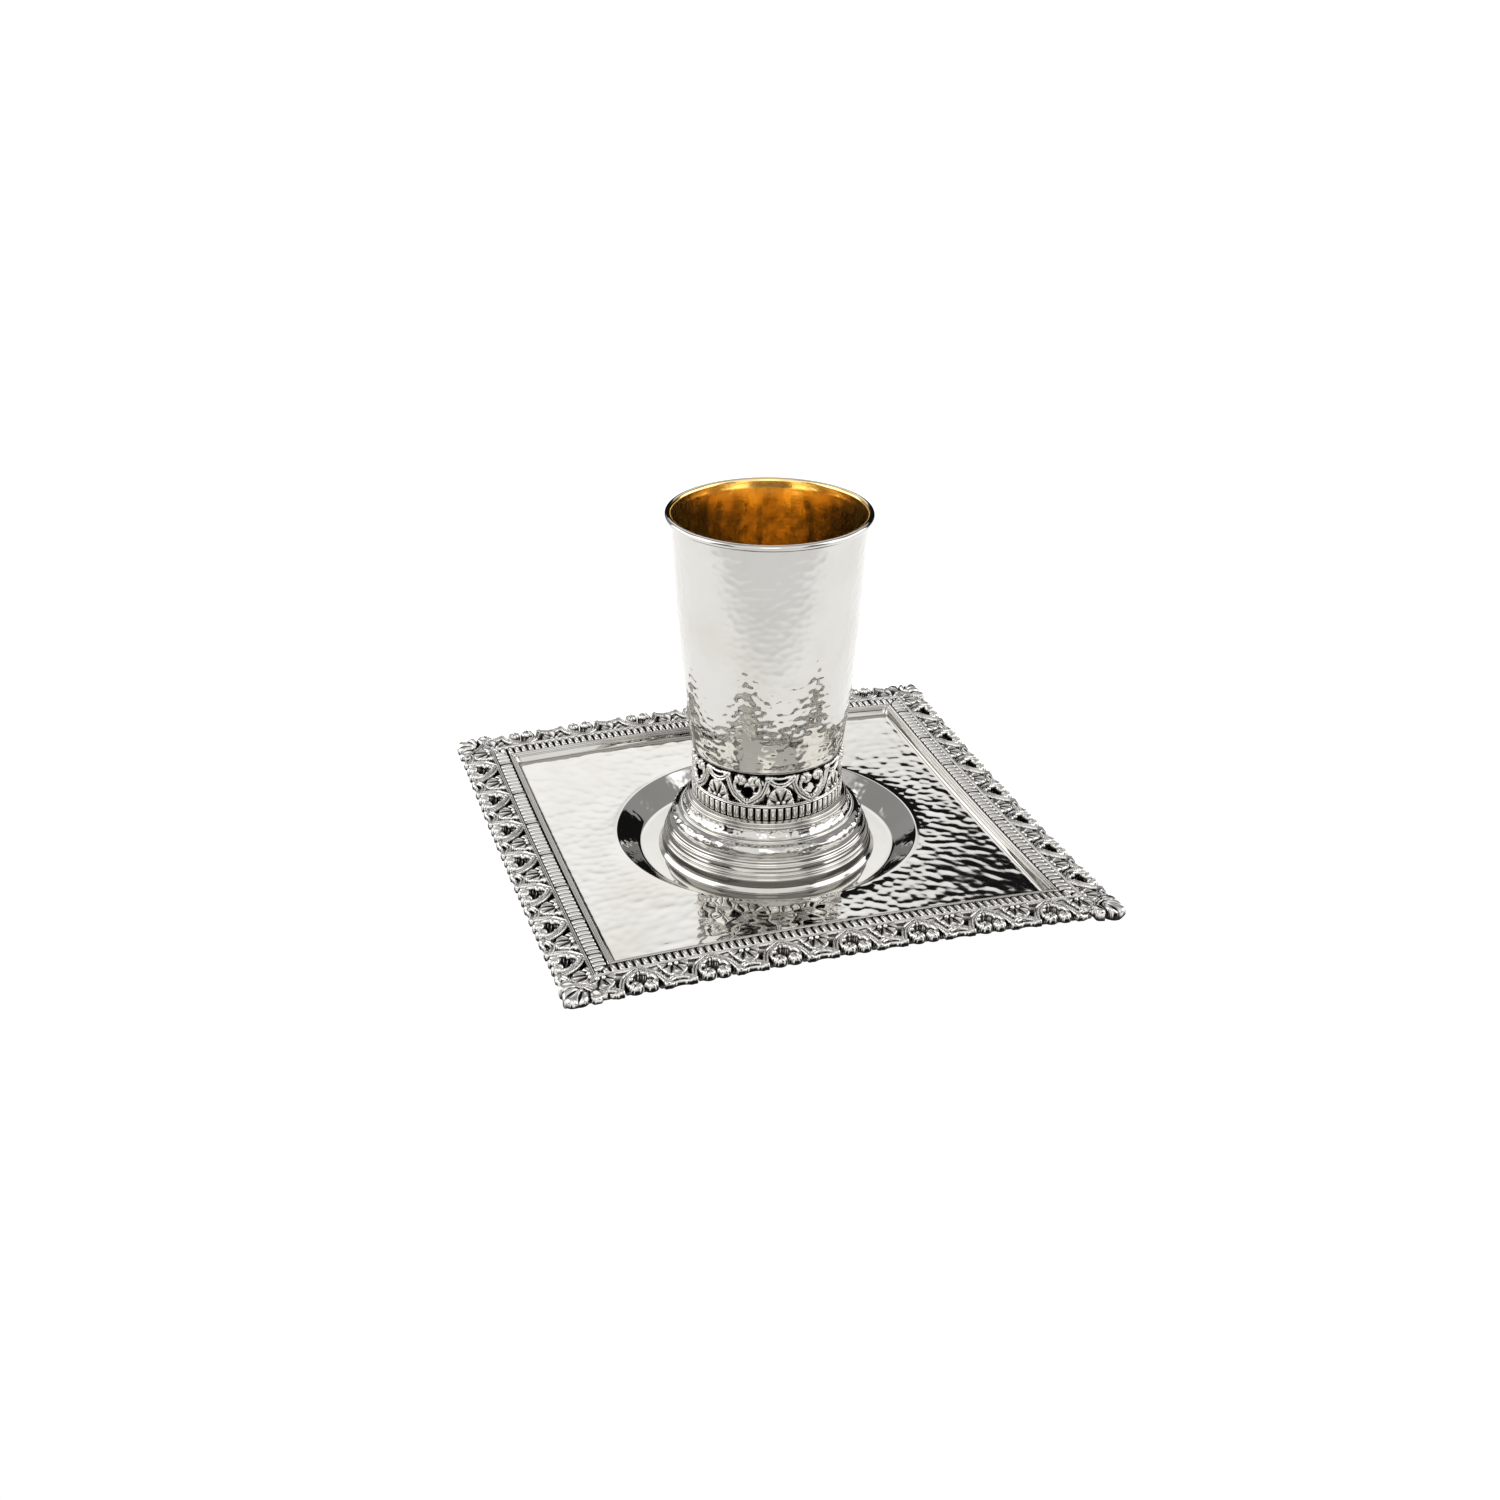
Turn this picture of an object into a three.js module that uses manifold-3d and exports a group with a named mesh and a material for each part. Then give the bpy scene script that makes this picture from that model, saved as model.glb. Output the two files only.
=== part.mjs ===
// A silver kiddush cup standing in the well of its square saucer. The bowl is a tapered hammered beaker
// with a rolled rim. A pierced gallery strip bent to a ring joins it to a spun, stepped foot. Four mitred
// lengths of the same cast strip frame the saucer. Millimetres, +Z up. The origin is the centre of the
// saucer's underside, where it rests on the table.
import * as THREE from 'three';
import { mergeGeometries, mergeVertices } from 'three/addons/utils/BufferGeometryUtils.js';
import Module from 'manifold-3d';

const wasm = await Module();
wasm.setup();

// ---- Driving dimensions -------------------------------------------------------------------------------

// Saucer, pressed from one sheet.
const SHEET = 1.0; // thickness of the saucer's sheet, and height of the well's floor
const WELL_FLOOR_RADIUS = 42.3;
const WELL_RIM_RADIUS = 50.5;
const PANEL_HEIGHT = 6.9; // top of the hammered panel
const PANEL_HALF = 70.45; // half the side of the panel, at the foot of its moulding
const FRAME_HALF = 73.8; // half the side of the square inside the cast strip
const SADDLE = 2.4; // how far the front and back rise, and the sides sink, at the edge
const OUTER_HALF = 90; // half the side of the whole saucer

// Cast gallery strip. v runs across it, from its fluted edge to its leaf tips.
const STRIP_WIDTH = OUTER_HALF - FRAME_HALF;
const FLUTE_BAND = 5.2; // width of the fluted band
const FILLET = 0.6; // width of the plain line between the flutes and the lattice
const FLUTES_PER_PERIOD = 9;
const BAND_DEPTH = 2.3; // thickness at the crest of a flute
const FLUTE_DEPTH = 0.8;
const LINE_DEPTH = BAND_DEPTH + 0.1; // thickness at the plain line
const LATTICE_THICKNESS = 1.3; // pierced part
const LATTICE_BASE = 0.3; // its underside, above the underside of the fluted band
const LATTICE_FALL = 1.0; // how far it slopes down towards the leaf tips
const STRIP_TOP = 9.9; // height of the flutes' crests above the table
const STRIP_PERIOD = 22.1; // from one lyre to the next along the saucer
const MITRE_GAP = 0.15; // each strip is cut back by this from the corner's diagonal

// Collar, seven periods of the same strip.
const COLLAR_PERIODS = 7;
const COLLAR_RADIUS = 25.2; // to the crests of the flutes
const COLLAR_INNER_RADIUS = 23.4;
const COLLAR_FLUTE_DEPTH = 0.45;
const COLLAR_LATTICE_INSET = 0.3; // the lattice stands this far outside the bore
const COLLAR_LATTICE_THICKNESS = 0.95;
const COLLAR_BASE = 21.6;
const COLLAR_FIRST_LYRE = THREE.MathUtils.degToRad(-71.9);

// Cup.
const FOOT_RADIUS = 36.5;
const FOOT_TOP_RADIUS = 26.0;
const WALL = 0.9;
const RIM_HEIGHT = 118.1; // centre of the rolled bead
const RIM_RADIUS = 32.15; // radius of the circle along its centre
const BEAD = 1.1; // radius of its section
const BOWL_BASE = 35.4;

const CUP_SEGMENTS = 28;
const SAUCER_SEGMENTS = 32; // a multiple of 8, so that a vertex falls on each corner

// ---- Helpers ------------------------------------------------------------------------------------------

/** Welds a geometry's corners by position alone. */
function welded(geometry) {
  const bare = geometry.clone();
  bare.deleteAttribute('normal');
  bare.deleteAttribute('uv');
  return mergeVertices(bare, 1e-3);
}

/** Turns a closed geometry into a solid that can be joined and cut. */
function toSolid(geometry) {
  const mesh = welded(geometry);
  return new wasm.Manifold(new wasm.Mesh({
    numProp: 3,
    vertProperties: new Float32Array(mesh.attributes.position.array),
    triVerts: new Uint32Array(mesh.index.array),
  }));
}

/** Turns a solid back into a geometry. */
function toGeometry(solid) {
  const mesh = solid.getMesh();
  const geometry = new THREE.BufferGeometry();
  geometry.setAttribute('position', new THREE.BufferAttribute(new Float32Array(mesh.vertProperties), 3));
  geometry.setIndex(new THREE.BufferAttribute(new Uint32Array(mesh.triVerts), 1));
  return geometry;
}

/** Moves every vertex of a geometry by a function of its place. */
function reshaped(geometry, place) {
  const position = geometry.attributes.position;
  const point = new THREE.Vector3();
  for (let i = 0; i < position.count; i += 1) {
    point.fromBufferAttribute(position, i);
    position.setXYZ(i, ...place(point));
  }
  return geometry;
}

/** Points on an arc of a section, from one angle to another in degrees. */
function arc(radius, height, size, from, to, steps) {
  return Array.from({ length: steps + 1 }, (_, i) => {
    const angle = THREE.MathUtils.degToRad(from + ((to - from) * i) / steps);
    return [radius + size * Math.cos(angle), height + size * Math.sin(angle)];
  });
}

/** A body of revolution about +Z from a section of [radius, height] points. */
function turned(section, segments) {
  const points = section.map(([radius, height]) => new THREE.Vector2(radius, height));
  return welded(new THREE.LatheGeometry(points, segments).rotateX(Math.PI / 2));
}

/** How far the saucer's edge is sprung up or down at a point, as a shallow saddle. */
function saddle(x, y) {
  return (SADDLE * (y * y - x * x)) / (OUTER_HALF * OUTER_HALF);
}

// ---- Cup ----------------------------------------------------------------------------------------------

/** The beaker: its outer wall from the base up, the rolled bead, and the inner wall down again. */
function bowl() {
  const outside = [
    [0, BOWL_BASE],
    [20.0, 35.8],
    [22.6, 37.0],
    [24.3, 38.9],
    [25.5, 42.2],
    [27.7, 62.6],
    [31.5, 117.2],
  ];
  const bead = arc(RIM_RADIUS, RIM_HEIGHT, BEAD, -120, 180, 7);
  const inside = [
    [26.8, 62.6],
    [24.6, 42.4],
    [23.3, 39.3],
    [20.0, 36.9],
    [0, BOWL_BASE + WALL],
  ];
  return turned([...outside, ...bead, ...inside], CUP_SEGMENTS);
}

/** The spun foot: beads, cove, torus and steps outside, and one smooth hollow beneath. */
function foot() {
  const outside = [
    [FOOT_RADIUS - WALL, SHEET],
    [FOOT_RADIUS, SHEET],
    [FOOT_RADIUS, 3.6],
    [35.9, 4.6],
    [35.1, 5.1],
    [34.8, 7.2],
    [33.8, 8.7],
    [33.3, 9.2],
    [32.9, 10.7],
    [31.8, 11.4],
    [31.9, 13.2],
    [30.6, 14.9],
    [28.9, 15.6],
    [28.6, 16.6],
    [27.0, 17.8],
    [26.8, 19.7],
    [FOOT_TOP_RADIUS, 20.5],
    [FOOT_TOP_RADIUS - 0.3, COLLAR_BASE],
    [0, COLLAR_BASE],
  ];
  const inside = [
    [0, COLLAR_BASE - WALL],
    [24.8, COLLAR_BASE - WALL],
    [25.9, 17.4],
    [30.6, 12.6],
    [FOOT_RADIUS - WALL, 3.8],
    [FOOT_RADIUS - WALL, SHEET],
  ];
  return turned([...outside, ...inside], CUP_SEGMENTS);
}

// ---- Gallery strip ------------------------------------------------------------------------------------

/** Half a period of the lattice, from the middle of a lyre at u = 0 to the middle of a shell. */
function latticeShape(period) {
  const shell = period / 2;
  const outline = [
    [0, FLUTE_BAND - FILLET / 2], // foot of the lyre's stem, let into the fluted band
    [shell / 2, FLUTE_BAND - FILLET / 2],
    [shell, FLUTE_BAND - FILLET / 2],
    [shell, 12.4], // swag over the shell
    [shell - 3.8, 13.8],
    [shell, 14.3],
    [shell, 15.4], // scalloped edge
    [5.5, 14.7],
    [2.9, STRIP_WIDTH],
    [0, 15.0], // notch between the two leaves
    [0, 11.6], // opening inside the lyre
    [2.6, 11.0],
    [0, 7.3],
  ];
  const slit = [
    [2.5, 6.4],
    [6.9, 6.4],
    [7.6, 12.0],
  ];
  const shape = new THREE.Shape(outline.map(([u, v]) => new THREE.Vector2(u, v)));
  shape.holes.push(new THREE.Path(slit.map(([u, v]) => new THREE.Vector2(u, v))));
  return shape;
}

/** The triangles of a geometry that don't lie whole in one of the planes u = seam. */
function withoutFaces(geometry, seams) {
  const source = geometry.attributes.position.array;
  const kept = [];
  for (let i = 0; i < source.length; i += 9) {
    const across = [source[i], source[i + 3], source[i + 6]];
    const onSeam = seams.some((seam) => across.every((u) => Math.abs(u - seam) < 1e-4));
    if (!onSeam) kept.push(...source.slice(i, i + 9));
  }
  const open = new THREE.BufferGeometry();
  open.setAttribute('position', new THREE.Float32BufferAttribute(kept, 3));
  return open;
}

/** Mirrors a geometry in u, and turns its triangles to face outwards again. */
function mirrored(geometry) {
  const flipped = geometry.clone().scale(-1, 1, 1);
  const array = flipped.attributes.position.array;
  for (let i = 0; i < array.length; i += 9) {
    for (let axis = 0; axis < 3; axis += 1) {
      const second = i + 3 + axis;
      const third = i + 6 + axis;
      [array[second], array[third]] = [array[third], array[second]];
    }
  }
  return flipped;
}

/**
 * The pierced lattice as a run of half periods. Even joints between halves fall on a lyre and odd ones on
 * a shell. The halves share their edges, and only an open run keeps its two end faces.
 */
function lattice(period, first, last, ring) {
  const options = { depth: LATTICE_THICKNESS, bevelEnabled: false };
  const half = new THREE.ExtrudeGeometry(latticeShape(period), options);
  const width = period / 2;
  const halves = [];
  for (let i = first; i < last; i += 1) {
    const startsAtLyre = i % 2 === 0;
    const keepsLyre = !ring && (startsAtLyre ? i === first : i === last - 1);
    const keepsShell = !ring && (startsAtLyre ? i === last - 1 : i === first);
    const seams = [];
    if (!keepsLyre) seams.push(0);
    if (!keepsShell) seams.push(width);
    const cell = withoutFaces(half, seams);
    const turnedCell = startsAtLyre ? cell : mirrored(cell);
    halves.push(turnedCell.translate((startsAtLyre ? i : i + 1) * width, 0, 0));
  }
  return mergeGeometries(halves).translate(0, 0, LATTICE_BASE);
}

/** The section along the fluted band, as a pleated top edge over a straight underside. */
function fluteShape(length, period) {
  const pitch = period / FLUTES_PER_PERIOD;
  const count = Math.ceil(length / pitch / 2);
  const shape = new THREE.Shape();
  shape.moveTo(-count * pitch, BAND_DEPTH - FLUTE_DEPTH);
  const undersideSteps = 6;
  for (let i = 0; i <= undersideSteps; i += 1) {
    shape.lineTo(count * pitch * ((2 * i) / undersideSteps - 1), 0);
  }
  for (let i = count; i > -count; i -= 1) {
    shape.lineTo(i * pitch, BAND_DEPTH - FLUTE_DEPTH);
    shape.lineTo((i - 0.5) * pitch, BAND_DEPTH);
  }
  return shape;
}

/** One straight length of strip, flat, with u along it and its ends cut to the corners' diagonals. */
function straightStrip() {
  const reach = OUTER_HALF + 2;
  const fluteLength = FLUTE_BAND - FILLET;
  const flutes = new THREE.ExtrudeGeometry(fluteShape(2 * reach, STRIP_PERIOD), {
    depth: fluteLength,
    bevelEnabled: false,
  });
  flutes.rotateX(Math.PI / 2).translate(0, fluteLength, 0);
  const line = new THREE.BoxGeometry(2 * reach, FILLET, LINE_DEPTH, 6, 1, 1);
  line.translate(0, FLUTE_BAND - FILLET / 2, LINE_DEPTH / 2);
  const halfPeriods = 9; // on each side of the middle lyre, enough to reach the corners
  let strip = toSolid(flutes)
    .add(toSolid(line))
    .add(toSolid(lattice(STRIP_PERIOD, -halfPeriods, halfPeriods, false)));
  const corner = FRAME_HALF - MITRE_GAP * Math.SQRT2;
  for (const side of [1, -1]) {
    const waste = new THREE.Shape([
      new THREE.Vector2(corner - 5, -5),
      new THREE.Vector2(corner + 25, 25),
      new THREE.Vector2(2 * OUTER_HALF, 25),
      new THREE.Vector2(2 * OUTER_HALF, -5),
    ]);
    const cutter = new THREE.ExtrudeGeometry(waste, { depth: 20, bevelEnabled: false }).translate(0, 0, -10);
    if (side < 0) cutter.rotateY(Math.PI);
    strip = strip.subtract(toSolid(cutter));
  }
  return toGeometry(strip);
}

/** Lays a flat strip along one side of the saucer, a number of quarter turns from the back. */
function borderStrip(quarterTurns) {
  const strip = straightStrip().translate(0, FRAME_HALF, STRIP_TOP - BAND_DEPTH);
  reshaped(strip, ({ x, y, z }) => {
    const across = Math.max(0, y - FRAME_HALF - FLUTE_BAND);
    return [x, y, z - (LATTICE_FALL * across) / (STRIP_WIDTH - FLUTE_BAND)];
  });
  strip.rotateZ((quarterTurns * Math.PI) / 2);
  return reshaped(strip, ({ x, y, z }) => [x, y, z + saddle(x, y)]);
}

/** The collar: a fluted ring with the lattice standing on it, bent round the foot of the bowl. */
function collar() {
  const fluteCount = COLLAR_PERIODS * FLUTES_PER_PERIOD;
  const star = [];
  for (let i = 0; i < 2 * fluteCount; i += 1) {
    const radius = i % 2 === 0 ? COLLAR_RADIUS : COLLAR_RADIUS - COLLAR_FLUTE_DEPTH;
    const angle = (Math.PI * i) / fluteCount;
    star.push(new THREE.Vector2(radius * Math.cos(angle), radius * Math.sin(angle)));
  }
  const band = new THREE.Shape(star);
  const bore = new THREE.Path();
  bore.absarc(0, 0, COLLAR_INNER_RADIUS, 0, 2 * Math.PI);
  band.holes.push(bore);
  const flutedRing = new THREE.ExtrudeGeometry(band, {
    depth: FLUTE_BAND,
    bevelEnabled: false,
    curveSegments: 14,
  });
  const middle = (COLLAR_RADIUS + COLLAR_INNER_RADIUS) / 2;
  const period = (2 * Math.PI * middle) / COLLAR_PERIODS;
  const ring = lattice(period, 0, 2 * COLLAR_PERIODS, true).translate(0, 0, -LATTICE_BASE);
  reshaped(ring, ({ x: along, y: up, z: out }) => {
    const angle = along / middle;
    const depth = (out * COLLAR_LATTICE_THICKNESS) / LATTICE_THICKNESS;
    const radius = COLLAR_INNER_RADIUS + COLLAR_LATTICE_INSET + depth;
    return [radius * Math.cos(angle), radius * Math.sin(angle), Math.max(up, FLUTE_BAND)];
  });
  const joined = toGeometry(toSolid(flutedRing).add(toSolid(ring)));
  return joined.rotateZ(COLLAR_FIRST_LYRE).translate(0, 0, COLLAR_BASE);
}

// ---- Saucer -------------------------------------------------------------------------------------------

/** The saucer's sheet: a round well in a square panel, up to the moulding inside the cast strip. */
function saucer() {
  const top = [
    [77.8, 7.3],
    [FRAME_HALF - 0.35, 7.3],
    [FRAME_HALF - 0.4, 9.5],
    [72.4, 9.3],
    [71.5, 8.4],
    [PANEL_HALF, PANEL_HEIGHT],
    [52.0, PANEL_HEIGHT],
    [WELL_RIM_RADIUS, PANEL_HEIGHT - 0.1],
    [WELL_FLOOR_RADIUS, SHEET],
    [0, SHEET],
  ];
  const underside = [
    [0, 0],
    [WELL_FLOOR_RADIUS + 0.4, 0],
    [51.2, PANEL_HEIGHT - SHEET],
    [71.0, PANEL_HEIGHT - SHEET],
    [77.8, 6.3],
  ];
  const sheet = turned([...underside, ...top], SAUCER_SEGMENTS);
  return reshaped(sheet, ({ x, y, z }) => {
    const radius = Math.hypot(x, y);
    if (radius <= WELL_RIM_RADIUS + 1.6) return [x, y, z];
    const stretch = radius / Math.max(Math.abs(x), Math.abs(y));
    return [x * stretch, y * stretch, z + saddle(x * stretch, y * stretch)];
  });
}

// ---- The set ------------------------------------------------------------------------------------------

const silver = { color: 0xd9d8d4, roughness: 0.16, metalness: 1.0 };
const castSilver = { color: 0xa9a69e, roughness: 0.38, metalness: 1.0 };

const PIECES = [
  ['cup_bowl', bowl(), silver],
  ['cup_collar', collar(), castSilver],
  ['cup_foot', foot(), silver],
  ['tray_plate', saucer(), silver],
  ['tray_border_back', borderStrip(0), castSilver],
  ['tray_border_left', borderStrip(1), castSilver],
  ['tray_border_front', borderStrip(2), castSilver],
  ['tray_border_right', borderStrip(3), castSilver],
];

const kiddushCup = new THREE.Group();
for (const [name, geometry, finish] of PIECES) {
  const mesh = new THREE.Mesh(geometry, new THREE.MeshStandardMaterial(finish));
  mesh.name = name;
  kiddushCup.add(mesh);
}

export default kiddushCup;
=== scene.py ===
"""A hammered silver kiddush cup on its square saucer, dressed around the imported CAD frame.

Every new piece is a surface worked out with numpy in millimetres and written in metres. The cast gallery
strip is modelled once, as a flat tile of one period, and then laid along the saucer's sides and bent
round the cup's collar.
"""

import logging
import math
from dataclasses import dataclass, field
from enum import Enum
from typing import Callable

import bpy
import numpy as np
from mathutils import Euler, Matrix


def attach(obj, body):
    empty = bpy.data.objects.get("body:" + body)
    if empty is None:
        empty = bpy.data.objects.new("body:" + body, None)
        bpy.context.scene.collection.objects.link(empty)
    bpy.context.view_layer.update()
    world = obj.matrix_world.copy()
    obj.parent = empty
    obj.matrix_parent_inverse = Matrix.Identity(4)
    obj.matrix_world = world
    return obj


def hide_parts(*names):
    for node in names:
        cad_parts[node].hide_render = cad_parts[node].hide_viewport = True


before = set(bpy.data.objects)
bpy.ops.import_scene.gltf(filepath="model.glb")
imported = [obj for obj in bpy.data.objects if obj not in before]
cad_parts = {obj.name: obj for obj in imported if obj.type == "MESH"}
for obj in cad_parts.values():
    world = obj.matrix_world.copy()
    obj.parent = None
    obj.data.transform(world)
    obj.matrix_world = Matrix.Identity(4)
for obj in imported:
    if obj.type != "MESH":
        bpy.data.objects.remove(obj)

MM = 0.001
Array = np.ndarray
NOISE_LOW, NOISE_HIGH = 0.3, 0.7  # nearly all of a noise texture's values lie between these
log = logging.getLogger("kiddush_cup")


# ---- Mesh tools ---------------------------------------------------------------------------------------


@dataclass
class Shell:
    """One or more closed surfaces, in millimetres.

    Attributes:
        points: Vertex places, shape (n, 3).
        quads: Vertex indices of the four-sided faces, shape (q, 4).
        triangles: Vertex indices of the three-sided faces, shape (t, 3).
        tone: How well each vertex is buffed, from 0 in a recess to 1 on a high point, shape (n,).
    """

    points: Array
    quads: Array
    triangles: Array
    tone: Array

    def moved(self, place: Callable[[Array], Array]) -> "Shell":
        """Returns the shell with its vertices passed through a function, and facing outwards again.

        Args:
            place: Takes and returns vertex places, shape (n, 3).

        Returns:
            A new shell that shares no array with this one's points.
        """
        return outward(Shell(place(self.points), self.quads, self.triangles, self.tone))


def signed_volume(shell: Shell) -> float:
    """Sum over all faces of a sixth of the triple product of their corners.

    Args:
        shell: The closed surface.

    Returns:
        Its volume in cubic millimetres, negative if it is inside out.
    """
    corners = np.concatenate([shell.quads[:, [0, 1, 2]], shell.quads[:, [0, 2, 3]], shell.triangles])
    a, b, c = (shell.points[corners[:, i]] for i in range(3))
    return float(np.einsum("ij,ij->i", a, np.cross(b, c)).sum() / 6)


def outward(shell: Shell) -> Shell:
    """Turns every face over if the shell as a whole is inside out.

    Args:
        shell: The closed surface.

    Returns:
        The same surface with its faces pointing outwards.
    """
    if signed_volume(shell) >= 0:
        return shell
    return Shell(shell.points, shell.quads[:, ::-1], shell.triangles[:, ::-1], shell.tone)


def closed_grid(points: Array, tone: Array | None = None) -> Shell:
    """Closes a grid of points whose columns run round a section and whose rows run along it.

    The last column joins the first, and the first and last rows are each closed by a fan to their mean.

    Args:
        points: Shape (rows, columns, 3).
        tone: Shape (rows, columns), or None for all ones.

    Returns:
        A closed shell with its faces pointing outwards.
    """
    rows, columns, _ = points.shape
    if tone is None:
        tone = np.ones((rows, columns))
    index = np.arange(rows * columns).reshape(rows, columns)
    after = np.roll(index, -1, axis=1)
    quads = np.stack([index[:-1], after[:-1], after[1:], index[1:]], axis=-1).reshape(-1, 4)
    first, last = rows * columns, rows * columns + 1
    fan_low = np.stack([np.full(columns, first), after[0], index[0]], axis=-1)
    fan_high = np.stack([np.full(columns, last), index[-1], after[-1]], axis=-1)
    ends = np.stack([points[0].mean(axis=0), points[-1].mean(axis=0)])
    end_tone = np.array([tone[0].mean(), tone[-1].mean()])
    return outward(Shell(
        np.concatenate([points.reshape(-1, 3), ends]),
        quads,
        np.concatenate([fan_low, fan_high]),
        np.concatenate([tone.reshape(-1), end_tone]),
    ))


def make_object(name: str, shell: Shell, finishes: list[bpy.types.Material],
                region: Callable[[Array], Array] | None = None) -> bpy.types.Object:
    """Writes a shell into a smooth-shaded mesh object in metres.

    Args:
        name: The object's name.
        shell: The surface, in millimetres.
        finishes: Its materials, in slot order.
        region: Takes face centres in millimetres, shape (f, 3), and returns each face's slot number.

    Returns:
        The new object, linked to the scene, with the tone stored as the attribute "tone".
    """
    mesh = bpy.data.meshes.new(name)
    mesh.vertices.add(len(shell.points))
    mesh.vertices.foreach_set("co", (shell.points * MM).astype(np.float32).reshape(-1))
    corners = np.concatenate([shell.quads.reshape(-1), shell.triangles.reshape(-1)]).astype(np.int32)
    sizes = np.concatenate([np.full(len(shell.quads), 4), np.full(len(shell.triangles), 3)])
    mesh.loops.add(len(corners))
    mesh.loops.foreach_set("vertex_index", corners)
    mesh.polygons.add(len(sizes))
    mesh.polygons.foreach_set("loop_start", (np.cumsum(sizes) - sizes).astype(np.int32))
    mesh.polygons.foreach_set("use_smooth", np.ones(len(sizes), dtype=bool))
    if region is not None:
        centres = np.concatenate([
            shell.points[shell.quads].mean(axis=1), shell.points[shell.triangles].mean(axis=1)
        ])
        mesh.polygons.foreach_set("material_index", region(centres).astype(np.int32))
    tone = mesh.attributes.new("tone", "FLOAT", "POINT")
    tone.data.foreach_set("value", shell.tone.astype(np.float32))
    for finish in finishes:
        mesh.materials.append(finish)
    mesh.update(calc_edges=True)
    mesh.validate()
    made = bpy.data.objects.new(name, mesh)
    bpy.context.scene.collection.objects.link(made)
    return made


# ---- Shape tools --------------------------------------------------------------------------------------


def smooth_step(value: Array, low: float, high: float) -> Array:
    """Rises from 0 at low to 1 at high along 3t² - 2t³."""
    t = np.clip((value - low) / (high - low), 0.0, 1.0)
    return t * t * (3.0 - 2.0 * t)


def between(value: Array, rise: tuple[float, float], fall: tuple[float, float]) -> Array:
    """A window: the smooth step over its rise times one less the smooth step over its fall.

    Args:
        value: Where to work it out.
        rise: The values between which it goes from 0 to 1.
        fall: The values between which it goes back to 0.

    Returns:
        The window, of the value's shape.
    """
    return smooth_step(value, *rise) * (1 - smooth_step(value, *fall))


def spline(knots: list[tuple[float, ...]], samples: int) -> Array:
    """A Catmull-Rom curve through its knots.

    Between two knots the curve is the cubic whose end slopes are half the chord from the knot before to
    the knot after. The first and last knots are repeated.

    Args:
        knots: The points that the curve passes through, of any dimension.
        samples: How many points to return, evenly spread over the knots.

    Returns:
        Points on the curve, shape (samples, dimension).
    """
    k = np.array([knots[0], *knots, knots[-1]], dtype=float)
    at = np.linspace(0, len(knots) - 1, samples)
    i = np.minimum(at.astype(int), len(knots) - 2)
    t = (at - i)[:, None]
    p0, p1, p2, p3 = k[i], k[i + 1], k[i + 2], k[i + 3]
    return 0.5 * (2 * p1 + (p2 - p0) * t + (2 * p0 - 5 * p1 + 4 * p2 - p3) * t**2
                  + (3 * p1 - p0 - 3 * p2 + p3) * t**3)


def arc(radius: float, height: float, size: float, start: float, end: float, samples: int) -> Array:
    """Points on a circle's arc in a section.

    Args:
        radius: The centre's distance from the axis.
        height: The centre's height.
        size: The arc's own radius.
        start: The first angle in degrees, from straight outwards towards up.
        end: The last angle in degrees.
        samples: How many points.

    Returns:
        Section points, shape (samples, 2).
    """
    angle = np.radians(np.linspace(start, end, samples))
    return np.stack([radius + size * np.cos(angle), height + size * np.sin(angle)], axis=-1)


def resampled(section: Array, step: float) -> Array:
    """Splits each stretch of a section into equal pieces no longer than a step.

    Args:
        section: Points, shape (rows, 2).
        step: The longest piece.

    Returns:
        The section with all its own points and the new ones between them.
    """
    length = np.linalg.norm(np.diff(section, axis=0), axis=1)
    counts = np.maximum(1, np.ceil(length / step).astype(int))
    at = np.concatenate([i + np.arange(n) / n for i, n in enumerate(counts)] + [[len(section) - 1.0]])
    whole = np.arange(len(section))
    return np.stack([np.interp(at, whole, section[:, axis]) for axis in range(2)], axis=-1)


def section_normals(section: Array) -> Array:
    """Unit normals of a section: the mean chord around each point, turned a quarter clockwise.

    Args:
        section: Points, shape (rows, 2), with the outer side on their right.

    Returns:
        The normals, of the same shape.
    """
    chord = np.gradient(section, axis=0)
    chord /= np.linalg.norm(chord, axis=1, keepdims=True)
    return np.stack([chord[:, 1], -chord[:, 0]], axis=-1)


def groove_tone(section: Array, reach: int = 3, darkest: float = 0.65, shallow: float = 0.12,
                deep: float = 0.32) -> Array:
    """How light each point of a section is coloured: 1 on a high point, less down in a groove.

    A point's depth is how far it lies under the mean of the points around it, along its normal.

    Args:
        section: Points, shape (rows, 2), with the outer side on their right.
        reach: How many points on either side make the mean.
        darkest: What the bottom of a deep groove loses.
        shallow: Depth from which a groove darkens.
        deep: Depth at which it is darkest.

    Returns:
        The tone of each point, shape (rows,).
    """
    near = np.pad(section, ((reach, reach), (0, 0)), mode="edge")
    mean = sum(near[k:k + len(section)] for k in range(2 * reach + 1)) / (2 * reach + 1)
    depth = ((mean - section) * section_normals(section)).sum(axis=1)
    return 1 - darkest * smooth_step(depth, shallow, deep)


def arc_length(section: Array) -> Array:
    """Distance of each point of a section from its first, measured along it."""
    return np.concatenate([[0], np.cumsum(np.linalg.norm(np.diff(section, axis=0), axis=1))])


def turned(section: Array, columns: int, relief: Array | float = 0.0) -> Array:
    """A surface of revolution about +Z, pushed out along the section's normals by a relief.

    Args:
        section: Points as (radius, height), shape (rows, 2), with the outer side on their right.
        columns: How many points go round.
        relief: Height of the relief, shape (rows, columns) or one number.

    Returns:
        Points, shape (rows, columns, 3).
    """
    angle = np.linspace(0, 2 * np.pi, columns, endpoint=False)
    normal = section_normals(section)
    relief = np.broadcast_to(relief, (len(section), columns))
    radius = section[:, :1] + normal[:, :1] * relief
    height = section[:, 1:] + normal[:, 1:] * relief
    return np.stack([radius * np.cos(angle), radius * np.sin(angle), height], axis=-1)


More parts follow.
